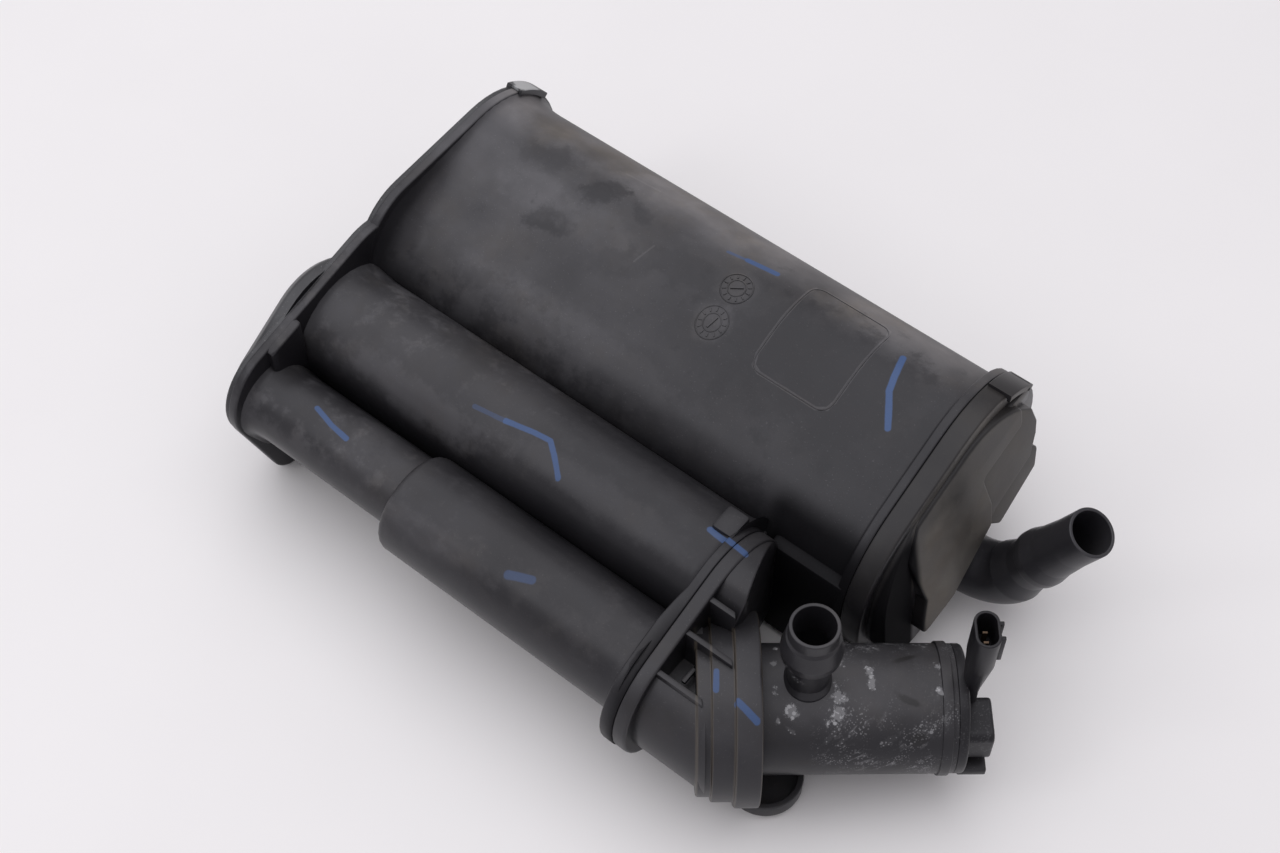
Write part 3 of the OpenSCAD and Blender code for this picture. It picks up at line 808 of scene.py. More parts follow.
@dataclass(frozen=True)
class DustyPlastic:
    """Black moulded plastic with settled dust, smudges and marker strokes.

    The film is how much dust lies on upward faces, the far-flank weight how much more dust and painted sheen
    go on the far flank for its glancing reflection, and rear how much lighter the film makes the rear end,
    painted light where the lamp falls more. Soiled is the share of brown in the dust.
    """

    name: str
    base: Colour = (0.0105, 0.010, 0.012)
    dust: Colour = (0.2, 0.196, 0.211)
    soil: Colour = (0.19, 0.16, 0.125)
    marker: Colour = (0.045, 0.095, 0.235)
    film: float = 0.16
    flecks: float = 0.16
    ragged: float = 4.4
    clean_rough: float = 0.27
    relief: float = 0.14
    soiled: float = 0.3
    far_dust_and_sheen: float = 0.0
    rear: float = 0.0
    shine: float = 0.5
    strokes: tuple[Stroke, ...] = ()
    scuffs: tuple[Stroke, ...] = ()
    dark: tuple[Smudge, ...] = ()
    pale: tuple[Smudge, ...] = ()

    def settled(self, tree: ShaderTree) -> Socket:
        """How far dust settles on the surface, from 0 to 1."""
        return tree.up.step(-0.05, 1.0)

    def marks(self, tree: ShaderTree, colour: Socket, wobble: Socket) -> Socket:
        """Marks that a kind of finish adds over the dust."""
        return colour

    def painted_shade(self, tree: ShaderTree) -> Optional[Socket]:
        """Share of matt black painted shade in deep corners and gaps, if the finish has any."""
        return None

    def make(self) -> bpy.types.Material:
        """Build the material.

        Returns:
            The material with its dust, marks and roughness.
        """
        tree = ShaderTree(self.name)
        broad, middle = tree.clouds(16.0, 5.0), tree.clouds(75.0, 5.0, shift=3.0)
        streak = tree.clouds(60.0, 3.0, (0.14, 1.0, 1.0), 7.0)
        grain = tree.clouds(2100.0, 2.0, shift=1.0)
        lying = self.settled(tree)
        film = lying * (0.35 + broad.step(0.32, 0.68) * 0.8) * (0.2 + middle * 0.8 + streak * 0.8) * self.film
        # Far flank: more dust and painted sheen there stand in for the glancing reflection along the far
        # upper edge
        far = tree.side.step(-0.1, 0.6) * tree.y.step(-30.0, 0.0)
        # The rear end is made lighter by more film, painted light where the lamp falls more
        film = film * (1.0 + far * self.far_dust_and_sheen + tree.x.step(200.0, 20.0) * self.rear)
        flecks = tree.clouds(1300.0, 1.0, shift=17.0).step(0.68, 0.74)
        film = film + flecks * lying * self.flecks
        wobble = (tree.clouds(95.0, 7.0, shift=13.0, rough=0.68) - 0.5) * self.ragged
        for smudge in self.dark:
            film = film * (1.0 - tree.patch(smudge, wobble))
        # Pale patches add dust, and painted highlight where they lie as long bands along the shoulders
        for smudge in self.pale:
            film = film + tree.patch(smudge, wobble * 0.6) * (0.2 + streak * 1.4) * lying.step(0.05, 0.4)
        for scuff in self.scuffs:
            film = film + tree.line(scuff, wobble * 0.5) * (0.3 + grain * 0.9)
        film = film.larger(0.0)
        brown = tree.clouds(30.0, 6.0, shift=11.0, rough=0.65).step(0.42, 0.72) * self.soiled + far * 0.25
        colour = tree.mix(film.smaller(1.0), self.base, tree.mix(brown.smaller(1.0), self.dust, self.soil))
        colour = self.marks(tree, colour, wobble)
        for stroke in self.strokes:
            worn = tree.line(stroke, wobble * 0.35) * (0.8 + grain * 0.3) * lying.step(0.25, 0.5)
            colour = tree.mix(worn.smaller(1.0), colour, self.marker)
        rough = (self.clean_rough + film * 0.5 + middle * 0.16).smaller(0.9)
        return tree.close(colour, rough, grain * 0.4 + middle * 0.6, self.relief, painted_shade=self.painted_shade(tree),
                          shine=self.shine)


@dataclass(frozen=True)
class CasePlastic(DustyPlastic):
    """Plastic of the housing, with matt black painted shade in the gap between the big chamber and the valve.
    """

    # Edges along X, Y and Z of the painted shade in the gap, and how black it is
    gap: tuple[Point, Point, Point] = ((198.0, 207.0), (-33.0, -47.0), (84.0, 72.0))
    shade_black: float = 0.85

    def painted_shade(self, tree: ShaderTree) -> Optional[Socket]:
        """Painted shade, matt black, on the lower flank and the web in front of the adapter."""
        along, across, height = (axis.step(*edge) for axis, edge in zip((tree.x, tree.y, tree.z), self.gap))
        return along * across * height * self.shade_black


@dataclass(frozen=True)
class CoverPlastic(DustyPlastic):
    """Plastic of the front cover, whose plateau holds brown dust on its upright face too, with painted shade
    in the pocket beside it.

    The plane is the plateau's face: its slopes along Y and Z and its place along X.
    """

    plane: Corner = (0.0875, 0.2097, 273.6)
    # Edges along Y and X of the painted shade in the pocket
    pocket: tuple[Point, Point] = ((-28.0, -32.0), (252.6, 254.4))
    shade_black: float = 0.92

    def settled(self, tree: ShaderTree) -> Socket:
        """Dust on upward faces and on the plateau's face, fading out towards the pocket beside it as painted
        shade.

        Args:
            tree: the material under construction.

        Returns:
            How far dust settles, from 0 to 1.
        """
        height = tree.x - tree.y * self.plane[0] + tree.z * self.plane[1] - self.plane[2]
        # The fade along Y is painted shade where the plateau's rounded edge turns down into the pocket
        face = tree.ahead.step(0.55, 0.9) * height.step(-4.6, -3.4) * tree.y.step(-33.5, -29.0)
        return (tree.up.step(-0.05, 1.0) * 0.3).larger(face)

    def painted_shade(self, tree: ShaderTree) -> Optional[Socket]:
        """Painted shade, matt black, in the pocket beside the plateau."""
        return tree.y.step(*self.pocket[0]) * tree.x.step(*self.pocket[1]) * self.shade_black


@dataclass(frozen=True)
class BandedPlastic(DustyPlastic):
    """Plastic of the adapter, with brown dust on the edges of its collar's rings."""

    bands: tuple[Point, ...] = ((0.0, 0.9), (-10.0, 0.9), (-18.5, 0.7), (-24.0, 0.8))
    band_colour: Colour = (0.13, 0.108, 0.082)
    band_cover: float = 0.36
    inner: Point = (29.0, 31.0)
    outer: Point = (37.6, 37.0)

    def marks(self, tree: ShaderTree, colour: Socket, wobble: Socket) -> Socket:
        """Add dusty lines at distances along the valve's axis.

        Args:
            tree: the material under construction.
            colour: the colour under the lines.
            wobble: unevenness of their edges.

        Returns:
            The colour with the lines.
        """
        along, across = AXIS.shader_along(tree)
        ring = across.step(*self.inner) * across.step(*self.outer)
        for at, wide in self.bands:
            line = abs(along - at + wobble * 0.15).step(wide, wide * 0.3) * ring
            colour = tree.mix(line * self.band_cover, colour, self.band_colour)
        return colour


@dataclass(frozen=True)
class ValvePlastic(DustyPlastic):
    """Plastic of the valve, with pale crusts, slanted smears and dark stains."""

    crusts: tuple[Smudge, ...] = ()
    stains: tuple[Smudge, ...] = ()
    crust_colour: Colour = (0.4, 0.4, 0.42)
    stain_colour: Colour = (0.012, 0.011, 0.010)
    speckle: float = 0.8
    slope: float = 38.0

    def settled(self, tree: ShaderTree) -> Socket:
        """Dust on the top of the round case alone."""
        return tree.up.step(0.35, 1.0)

    def specks(self, tree: ShaderTree, scale: float, size: float) -> Socket:
        """Crisp round specks of uneven size."""
        away = tree.value("ShaderNodeTexVoronoi", 0, {"feature": "F1"},
                          {"Vector": tree.place, "Scale": scale})
        return away.step(size, size * 0.75)

    def marks(self, tree: ShaderTree, colour: Socket, wobble: Socket) -> Socket:
        """Add crusts and stains by distance along the axis and by height.

        Args:
            tree: the material under construction.
            colour: the colour under the marks.
            wobble: unevenness of their edges.

        Returns:
            The colour with the marks.
        """
        along, _ = AXIS.shader_along(tree)
        spot = (along, tree.z)
        rag = tree.clouds(260.0, 6.0, shift=5.0, rough=0.75)
        specks = self.specks(tree, 430.0, 0.36).larger(self.specks(tree, 800.0, 0.28))
        crumbs = self.specks(tree, 1000.0, 0.3).larger(self.specks(tree, 560.0, 0.22))
        slope = math.radians(self.slope)
        level, rise = math.cos(slope), math.sin(slope)
        flat = tree.pair((along * level + tree.z * rise) * 0.3, tree.z * level - along * rise)
        smear = tree.value("ShaderNodeTexNoise", 0, None, {
            "Vector": flat, "Scale": 0.55, "Detail": 4.0, "Roughness": 0.6}).step(0.53, 0.66)
        cloud = tree.clouds(85.0, 4.0, shift=9.0)
        zone = along.step(16.0, 26.0) * tree.z.step(63.0, 57.0) * cloud.step(0.43, 0.6)
        cover = (crumbs * 0.42 + smear * 0.3) * zone * self.speckle
        for crust in self.crusts:
            lump = tree.patch(crust, (rag - 0.5) * 5.0, spot)
            cover = cover.larger(lump * (0.06 + specks * 0.7))
            cover = cover.larger(lump.step(0.72, 0.95) * (0.4 + specks * 0.5))
        colour = tree.mix(cover.smaller(1.0), colour, self.crust_colour)
        for stain in self.stains:
            colour = tree.mix(tree.patch(stain, wobble * 0.4, spot), colour, self.stain_colour)
        return colour


@dataclass(frozen=True)
class InnerFinish:
    """Plain finish of a piece inside the case."""

    name: str
    colour: Colour
    rough: float
    kind: Sheen = Sheen.PLAIN
    scale: float = 400.0

    def make(self) -> bpy.types.Material:
        """Build the material with a fine variation of its colour.

        Returns:
            The finished material.
        """
        tree = ShaderTree(self.name)
        grain = tree.clouds(self.scale, 4.0)
        darker = tuple(c * 0.6 for c in self.colour)
        return tree.close(tree.mix(grain, darker, self.colour), self.rough + (grain - 0.5) * 0.15, grain, 0.2,
                          self.kind.value)


@dataclass(frozen=True)
class ValveAxis:
    """Slanted axis of the valve, with places along it."""

    start: tuple[float, float, float] = (239.8, -105.39135, 38.0)
    turn: float = 39.0

    def heading(self) -> tuple[float, float]:
        """Cosine and sine of the axis's turn."""
        return math.cos(math.radians(self.turn)), math.sin(math.radians(self.turn))

    def along(self, d: float = 0.0) -> Matrix:
        """Place on the axis whose Z runs outwards and whose X points down."""
        return Matrix.Translation(self.start) @ spin_z(self.turn) @ LYING @ lift(d)

    def over(self, d: float, z: float) -> Matrix:
        """Upright place over the axis at a height."""
        c, s = self.heading()
        return Matrix.Translation((self.start[0] + d * c, self.start[1] + d * s, z)) @ spin_z(self.turn)

    def plane_x(self, d: float, y: float) -> float:
        """Place along X of the plane across the axis at a given y."""
        c, s = self.heading()
        return self.start[0] + (d - (y - self.start[1]) * s) / c

    def shader_along(self, tree: ShaderTree) -> tuple[Socket, Socket]:
        """Distances along the axis and away from it, as values in a material.

        Args:
            tree: the material under construction.

        Returns:
            The distance along the axis and the distance from it.
        """
        c, s = self.heading()
        px, py, pz = (axis - self.start[k] for k, axis in enumerate((tree.x, tree.y, tree.z)))
        side = py * c - px * s
        return px * c + py * s, (side * side + pz * pz).root()


AXIS = ValveAxis()


@dataclass
class Piece:
    """A finished object with the nodes it stands for."""

    made: bpy.types.Object
    nodes: tuple[str, ...]
    slot: str = "black_plastic"

    def dress(self, material: bpy.types.Material) -> None:
        """Give the piece its material and tie it to the frame.

        Args:
            material: material of the whole piece.
        """
        self.made.data.materials.clear()
        self.made.data.materials.append(material)
        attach(self.made, BODY)
        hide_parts(*self.nodes)
        LOG.info("piece %s with %d faces", self.made.name, len(self.made.data.polygons))


@dataclass
class Housing:
    """Three chambers and their welded rims, moulded in one piece."""

    length: float = 243.0
    short: float = 205.0
    rim_t: float = 4.0
    rim_h: float = 3.98
    step_x: float = 82.0
    flare: float = 13.0
    flare_share: float = 0.96
    low_share: float = 0.98
    tab_y: Point = (-118.5, -101.5)
    tab_x: Point = (1.0, 7.0)
    tab_foot: float = 52.0
    dials: tuple[Corner, ...] = ((140.1, 9.0, 32.0), (140.3, -7.0, 75.0))
    bare_frame: tuple[Point, Point] = ((163.0, 200.0), (-13.5, 31.0))

    def fillet(self, height: float, reach: float, start: float) -> list[Point]:
        """Concave rounding from a rim's face onto a chamber wall.

        Args:
            height: its height on the rim.
            reach: its length along the wall.
            start: place along X where it starts.

        Returns:
            Places along X with the growth of the wall there.
        """
        steps = 8
        return [(start + reach * k / steps, height * (1 - math.sqrt(1 - (1 - k / steps) ** 2)))
                for k in range(steps + 1)]

    def big_chamber(self, maker: MeshMaker) -> None:
        """Big chamber, flared onto the rear rim and closed in the front rim.

        Args:
            maker: takes the shells.
        """
        stations = [(2.0, self.flare_share)] + self.fillet(self.flare_share, self.flare, self.rim_t - 0.6)
        rings = [[(x, y, z) for y, z in BIG.mix(REAR_HIGH, share).ring()] for x, share in stations]
        end = self.length - self.rim_t
        for x, grow in soften([(self.flare + 20, 0, 0), (end - 5, 0, 0), (end - 0.5, 0, 3), (end, 2.5, 0)]):
            rings.append([(x, y, z) for y, z in BIG.ring(grow)])
        maker.loft(rings)

    def rear_rim(self, maker: MeshMaker) -> None:
        """Rear rim around all chambers, with a tab where the small and middle chambers meet.

        Args:
            maker: takes the shells.
        """
        profile = soften([(0.0, -10, 0), (0.0, -0.02, 0.7), (self.rim_t, -0.02, 1.1), (self.rim_t, -10, 0)])
        maker.prism(REAR_HIGH, profile)
        maker.prism(REAR_LOW, [(x * self.low_share, grow) for x, grow in profile], arc=26)
        stations = []
        steps = 12
        (low, high), (rear, front) = self.tab_y, self.tab_x
        for k in range(steps + 1):
            y = low + (high - low) * k / steps
            end = 0.0 if 0 < k < steps else 0.8
            stations.append((y, rear, front - end, self.tab_foot, REAR_LOW.top(y) - 0.2 - end))
        maker.ridge(stations, 1.2)

    def front_rims(self, maker: MeshMaker) -> None:
        """Rims that the front cover and the valve adapter are welded to.

        Args:
            maker: takes the shells.
        """
        def thick(x: float, y: float, z: float) -> float:
            """Thicken the rim beside the small chamber."""
            return x - (2.0 * clamp((-104.0 - y) / 6.0) if x < self.short - 2 else 0.0)

        low, high = self.length - self.rim_t, self.length
        maker.prism(BIG, soften([(low, -5, 0), (low, self.rim_h, 0.9), (high, self.rim_h, 0.8),
                                 (high, -5, 0)]))
        low, high = self.short - self.rim_t, self.short
        maker.prism(VENT_RIM, soften([(low, -9, 0), (low, 0, 0.9), (high, 0, 0.7), (high, -9, 0)]), thick)

    def small_chambers(self, maker: MeshMaker) -> None:
        """Middle chamber and the stepped small chamber.

        Args:
            maker: takes the shells.
        """
        end = self.short - self.rim_t + 1
        foot = self.fillet(3.2, 11.0, self.rim_t - 0.4)
        maker.prism(MID, foot + [(60, 0)] + self.swell(end, 3.0))
        maker.prism(SMALL, foot + [(self.step_x + 4, 0)])
        shoulder = soften([(self.step_x, -7, 0), (self.step_x, 0, 3.2), (self.step_x + 30, 0, 0)], 6)
        maker.prism(WIDE, shoulder + self.swell(end, 2.0))

    def swell(self, end: float, height: float) -> list[Point]:
        """Concave rounding of a chamber's wall onto the rim in front of it."""
        return [(end + self.rim_t - x, g) for x, g in reversed(self.fillet(height, 7.0, self.rim_t - 0.4))]

    def webs(self, maker: MeshMaker) -> None:
        """Webs between the chambers, the pad behind the adapter's rim and the web in front of it.

        Args:
            maker: takes the shells.
        """
        back, front = self.short, self.length
        boxes = (((1, -111.5, 38), (back - 1, -95.5, 42), 0.4), ((1, -59.5, 41), (back - 1, -50.5, 61), 1.5),
                 ((back - 13, -74.5, 60), (back - 3, -62.5, 82), 1.6),
                 ((back + 2, -57.5, 3), (front - 1, -47.5, 63), 2.2))
        for low, high, edge in boxes:
            maker.block(UNMOVED, low, high, edge)

    def relief(self, maker: MeshMaker, material: bpy.types.Material) -> None:
        """Date dials and the bare frame on top of the big chamber.

        Args:
            maker: takes the shells.
            material: material of the relief.
        """
        def drape(x: float, y: float, angle: float = 0.0) -> Callable[[Vector], Vector]:
            """Lay flat relief onto the chamber's top.

            Args:
                x: place of its middle along X.
                y: place of its middle along Y.
                angle: turn of the relief, in degrees.

            Returns:
                The function that moves each point.
            """
            turn = spin_z(angle)

            def lay(p: Vector) -> Vector:
                """Place of one point of the relief."""
                q = turn @ p
                return Vector((x + q.x, y + q.y, BIG.top(y + q.y) + q.z))
            return lay

        dial = DialTree()
        for x, y, angle in self.dials:
            maker.add(dial.relief(material, Radius=6.6), drape(x, y, angle))
        (x0, x1), (y0, y1) = self.bare_frame
        bare = FrameTree().relief(material, Length=x1 - x0, Width=y1 - y0)
        maker.add(bare, drape((x0 + x1) / 2, (y0 + y1) / 2))

    def build(self, material: bpy.types.Material) -> Piece:
        """Build the whole housing as one piece.

        Args:
            material: material of the relief.

        Returns:
            The housing.
        """
        maker = MeshMaker()
        self.big_chamber(maker)
        self.small_chambers(maker)
        self.rear_rim(maker)
        self.front_rims(maker)
        self.webs(maker)
        self.relief(maker, material)
        return Piece(maker.finish("housing_shell"), ("housing",))


@dataclass
class RearCover:
    """Shallow welded cover over the rear ends of the chambers."""

    rim: float = 2.5
    dome: float = 10.6
    low_share: float = 0.97
    clip_angles: Point = (34.0, 62.0)

    def build(self) -> Piece:
        """Build the rim, the bulge and the clip as one piece.

        Returns:
            The rear cover.
        """
        maker = MeshMaker()
        profile = soften([(0.0, -10, 0), (0.0, -0.6, 0.3), (-self.rim, -0.3, 1.0), (-self.rim, -12, 0)])
        maker.prism(REAR_HIGH, profile)
        maker.prism(REAR_LOW, [(x * self.low_share, grow) for x, grow in profile])
        end = -self.dome
        maker.prism(REAR_BULGE, soften([(-0.5, 5.8, 0), (end + 5.4, 5.8, 3.0), (end + 1.6, 2.0, 4.0),
                                        (end, -5.0, 4.0), (end, -11.0, 0)], 6))
        clip = soften([(-2.5, 39.5, 0), (-2.5, 44.1, 0.7), (5.6, 44.1, 0.6), (5.6, 41.2, 0.3),
                       (4.4, 41.2, 0.3), (4.4, 42.8, 0), (0.0, 42.8, 0), (0.0, 39.5, 0)], 3)
        maker.sector(FAR_CORNER, clip, *self.clip_angles)
        return Piece(maker.finish("rear_cover_shell", 50.0), ("rear_cover",))


@dataclass
class FrontCover:
    """Cap of the big chamber with its raised plateau, the shelf beside it and a corner hook."""

    start: float = 243.0
    end: float = 252.0
    rim_h: float = 4.0
    turn: float = 6.5
    foot: tuple[float, float, float] = (254.0, 7.5, 20.5)
    base_x: float = 256.0
    base_slope: Point = (0.114, 0.118)
    plateau_x: float = 270.0
    plateau_slope: Point = (0.0875, 0.2097)
    strap_angles: Point = (43.0, 72.0)
    plateau: tuple[Point, ...] = (
        (-32, 19.5), (-11.5, 25.5), (14, 45.5), (15, 56.5), (10.6, 74.7), (35.2, 84.4), (36, 120), (-27, 120),
        (-27, 86), (-34.5, 67), (-27, 38))
    shelf: tuple[Point, ...] = (
        (8, 50), (14, 44), (20.3, 48.7), (41.8, 59.1), (45.8, 69.3), (46.6, 75.5), (44, 84), (30, 95),
        (8, 84))
    lip: tuple[Point, ...] = ((14, 42), (22.8, 34.5), (46.2, 48.5), (48, 58), (43, 62), (18, 52))

    def base_face(self, y: float, z: float) -> float:
        """Place of the leaning base along X."""
        across, rise = self.base_slope
        return self.base_x - across * (y - self.foot[1]) - rise * (z - self.foot[2])

    def plateau_face(self, y: float, z: float) -> float:
        """Place of the plateau along X."""
        across, rise = self.plateau_slope
        return self.plateau_x + across * (y - self.foot[1]) - rise * (z - self.foot[2])

    def build(self) -> Piece:
        """Build the rim, the base, the plateau with its shelf and the hook as one piece.

        Returns:
            The front cover.
        """
        maker = MeshMaker()
        start, end, rim = self.start, self.end, self.rim_h - 0.2
        maker.prism(BIG, soften([(start, -5, 0), (start, rim, 0.8), (end, rim, 1.2), (end, -8, 0)]))
        maker.slab(BIG.ring(-1.5), start + 0.5, self.base_face, 1.2)
        # Outline, its corners' radius, how far it stays below the plateau, and its edge's radius
        raised = ((fenced(self.plateau, BIG.ring(-3.0)), 3.0, 0.0, 1.3), (self.shelf, 2.0, 2.05, 1.0),
                  (self.lip, 2.0, 3.4, 0.9))
        for outline, corner, drop, edge in raised:
            def face(y: float, z: float, drop: float = drop) -> float:
                """Place of the step's face along X."""
                return self.plateau_face(y, z) - drop

            maker.slab(soften_ring(outline, corner), end - 4, face, edge)
        maker.block(UNMOVED, (start + 1, 30, 85), (start + 11, 46.5, 95), 1.2)
        strap = soften([(start + 0.6, 41.5, 0), (start + 0.6, 43.5, 0.5), (end + 2, 43.5, 0.5),
                        (end + 2, 40.5, 0.4), (end + 0.6, 40.5, 0.3), (end + 0.6, 41.5, 0)], 3)
        maker.sector(FAR_CORNER, strap, *self.strap_angles)
        return Piece(maker.finish("front_cover_shell"), ("front_cover",))


@dataclass
class TankPipe:
    """Bent hose pipe on the front cover."""

    cover: FrontCover
    bend: float = 19.5
    turn: float = 64.0
    body_r: float = 12.6
    foot: tuple[Corner, ...] = ((-2, 14, 0), (2, 14, 0.6), (3.5, 12.6, 0.8), (10, 12.6, 0))
    nipple: tuple[Corner, ...] = (
        (0.6, 12.4, 0), (4.5, 11.6, 3), (9, 10.7, 3), (16, 10.7, 0.3), (16.3, 11.9, 0.5), (20, 11.9, 1.4),
        (27, 10.7, 3), (39, 10, 3), (53, 10, 0.6), (53, 8.6, 0.5), (41, 7.8, 2), (23, 7.8, 0))
    steps: int = 24
    sides: int = 64

    def rings(self) -> list[list[Vector]]:
        """Rings along the outside, round the tip and back down the bore.

        Returns:
            The rings in order.
        """
        place = Matrix.Translation(self.cover.foot) @ spin_z(self.cover.turn) @ LYING
        stations = [(place @ lift(d), r) for d, r in soften(self.foot)]
        stations += [(place @ self.on_bend(self.turn * k / self.steps), self.body_r)
                     for k in range(1, self.steps + 1)]
        tip = place @ self.on_bend(self.turn)
        stations += [(tip @ lift(d), r) for d, r in soften(self.nipple, 6)]
        return [[m @ Vector((r * c, r * s, 0)) for c, s in circle(self.sides)] for m, r in stations]

    def on_bend(self, angle: float) -> Matrix:
        """Place along the bend.

        Args:
            angle: degrees from the end of the pipe's foot.

        Returns:
            The matrix of that place.
        """
        a = math.radians(angle)
        height = self.foot[-1][0] + self.bend * math.sin(a)
        return Matrix.Translation((-self.bend * (1 - math.cos(a)), 0, height)) @ Matrix.Rotation(-a, 4, "Y")

    def build(self) -> Piece:
        """Build the pipe as one piece.

        Returns:
            The pipe.
        """
        maker = MeshMaker()
        maker.loft(self.rings())
        return Piece(maker.finish("tank_pipe"), ("tank_port_elbow",))


@dataclass
class ValveAdapter:
    """Plate, wedge, ribbed neck and stepped collar that carry the valve, with a cup under the collar."""

    start: float = 205.0
    thick: float = 6.0
    neck: Corner = (-117.5, 42.0, 27.5)
    ribs: tuple[Corner, ...] = (
        (-98.5, -9.5, 90), (-112.5, -11.0, 90), (-129.5, -22.0, 90), (-142.5, -22.0, 47))
    rib_half: float = 1.2
    tab: tuple[tuple[Corner, Corner], ...] = (((217.5, -118.0, 55.0), (219.3, -114.0, 62.5)),
                                              ((217.5, -124.5, 60.8), (219.3, -114.0, 62.5)))
    pockets: tuple[Corner, ...] = ((-128.3, -113.7, 57.0), (-111.3, -99.7, 66.0))
    wedge: Point = (-99.5, -59.0)
    wedge_reach: float = 11.0
    wedge_dip: float = 8.0
    wedge_foot: float = 26.0
    collar_r: float = 36.7
    cup: tuple[Corner, ...] = (
        (0, 4, 0), (0, 14.9, 0.8), (7, 14.9, 0.5), (7, 12.5, 0.5), (2.5, 12.5, 0.8), (2.5, 2, 0))

    def plate(self, maker: MeshMaker) -> None:
        """Welded plate and the wedge from its free end to the collar.

        Args:
            maker: takes the shells.
        """
        face = self.start + self.thick
        maker.prism(VENT_RIM, soften([(self.start, -9, 0), (self.start, -0.3, 0.7), (face, -0.3, 1.3),
                                      (face, -9, 0)]))
        stations = []
        steps = 24
        low, high = self.wedge
        for k in range(steps + 1):
            y = low + (high - low) * k / steps
            front = face + 0.2 + self.wedge_reach * clamp((-59.5 - y) / 33.0)
            dip = self.wedge_dip * clamp((-89.0 - y) / 10.0) ** 1.5
            stations.append((y, self.start + 1, front, self.wedge_foot, VENT_RIM.top(y, -1.2) - dip))
        maker.ridge(stations, 0.8)

    def neck_body(self, maker: MeshMaker) -> None:
        """Round neck with the pockets between the ribs cut out of its top.

        Args:
            maker: takes the shells.
        """
        y0, z0, r = self.neck
        points = [(y0 + r * c, z0 + r * s) for c, s in circle(160)]

        def floor(y: float, z: float) -> float:
            """Height of the neck's skin, lower in a pocket.

            Args:
                y: place across the neck.
                z: height of the round skin there.

            Returns:
                The height of the skin.
            """
            for low, high, height in self.pockets:
                if low < y < high:
                    return min(z, height)
            return z

        skin = [(y, floor(y, z)) for y, z in points]
        rear = [(self.start + 1, y, z) for y, z in skin]
        maker.loft([rear, [(AXIS.plane_x(-21, y), y, z) for y, z in skin]])

    def rib_plates(self, maker: MeshMaker) -> None:
        """Ribs from the plate to the collar, and the small tab between two of them.

        Args:
            maker: takes the shells.
        """
        for y, d, highest in self.ribs:
            def slant(p: Vector, d: float = d) -> Vector:
                """Move the front corners onto the plane across the valve."""
                return Vector((AXIS.plane_x(d, p.y), p.y, p.z)) if p.x > self.start + 10 else p

            top = min(VENT_RIM.top(y, -1.5), highest)
            maker.block(UNMOVED, (self.start + 1, y - self.rib_half, 36),
                        (self.start + 20, y + self.rib_half, top), 0.5, slant)
        for low, high in self.tab:
            maker.block(UNMOVED, low, high, 0.4)

    def collar(self, maker: MeshMaker) -> None:
        """Three stepped rings and the cup under them.

        Args:
            maker: takes the shells.
        """
        def clip(p: Vector) -> Vector:
            """Keep the rings in front of the weld plane."""
            return Vector((max(p.x, self.start + 0.3), p.y, p.z))

        r = self.collar_r
        maker.turn(AXIS.along(), soften([
            (-24, 16, 0), (-24, r - 4.2, 1.2), (-18.5, r - 4.2, 0.3), (-18.5, r - 2.3, 0.8),
            (-10, r - 2.3, 0.4), (-10, r, 1.2), (-0.2, r, 1.2), (-0.2, 16, 0)]), 128, clip)
        maker.turn(AXIS.over(3.5, 3.0) @ Matrix.Translation((0, -13, 0)), soften(self.cup), 72)

    def build(self) -> Piece:
        """Build the adapter as one piece.

        Returns:
            The adapter.
        """
        maker = MeshMaker()
        self.plate(maker)
        self.neck_body(maker)
        self.rib_plates(maker)
        self.collar(maker)
        return Piece(maker.finish("valve_adapter_shell"), ("valve_adapter",))


@dataclass
class ValveBody:
    """Round valve case with the upright vent nipple."""

    radius: float = 24.6
    length: float = 72.0
    vent_at: float = 17.0
    vent_r: float = 9.3
    vent_top: float = 101.0

    def build(self) -> Piece:
        """Build the case and the nipple as one piece.

        Returns:
            The valve's case.
        """
        maker = MeshMaker()
        r, end = self.radius, self.length
        maker.turn(AXIS.along(), soften([
            (-1, 15, 0), (-1, r, 0.3), (end - 6, r - 0.3, 0.3), (end - 6, r + 0.5, 0.5),
            (end - 2, r + 0.5, 0.5), (end - 2, r - 0.4, 0.3), (end, r - 0.4, 0.3), (end, 12, 0)]), 120)
        v, base = self.vent_r, AXIS.start[2] + r / 2
        h = self.vent_top - base
        maker.turn(AXIS.over(self.vent_at, base), soften([
            (2, v, 0), (11.6, v, 1.0), (14, v - 1.6, 1.5), (h - 24, v - 1.6, 2), (h - 19, v + 1.9, 1.5),
            (h - 15, v + 2.2, 2), (h - 7, v + 0.8, 1.2), (h - 6, v, 0.6), (h, v, 0.6), (h, v - 1.4, 0.5),
            (h - 12, v - 3.5, 2), (h - 33, v - 3.5, 0)], 6), 72)
        return Piece(maker.finish("valve_case"), ("valve_body",))


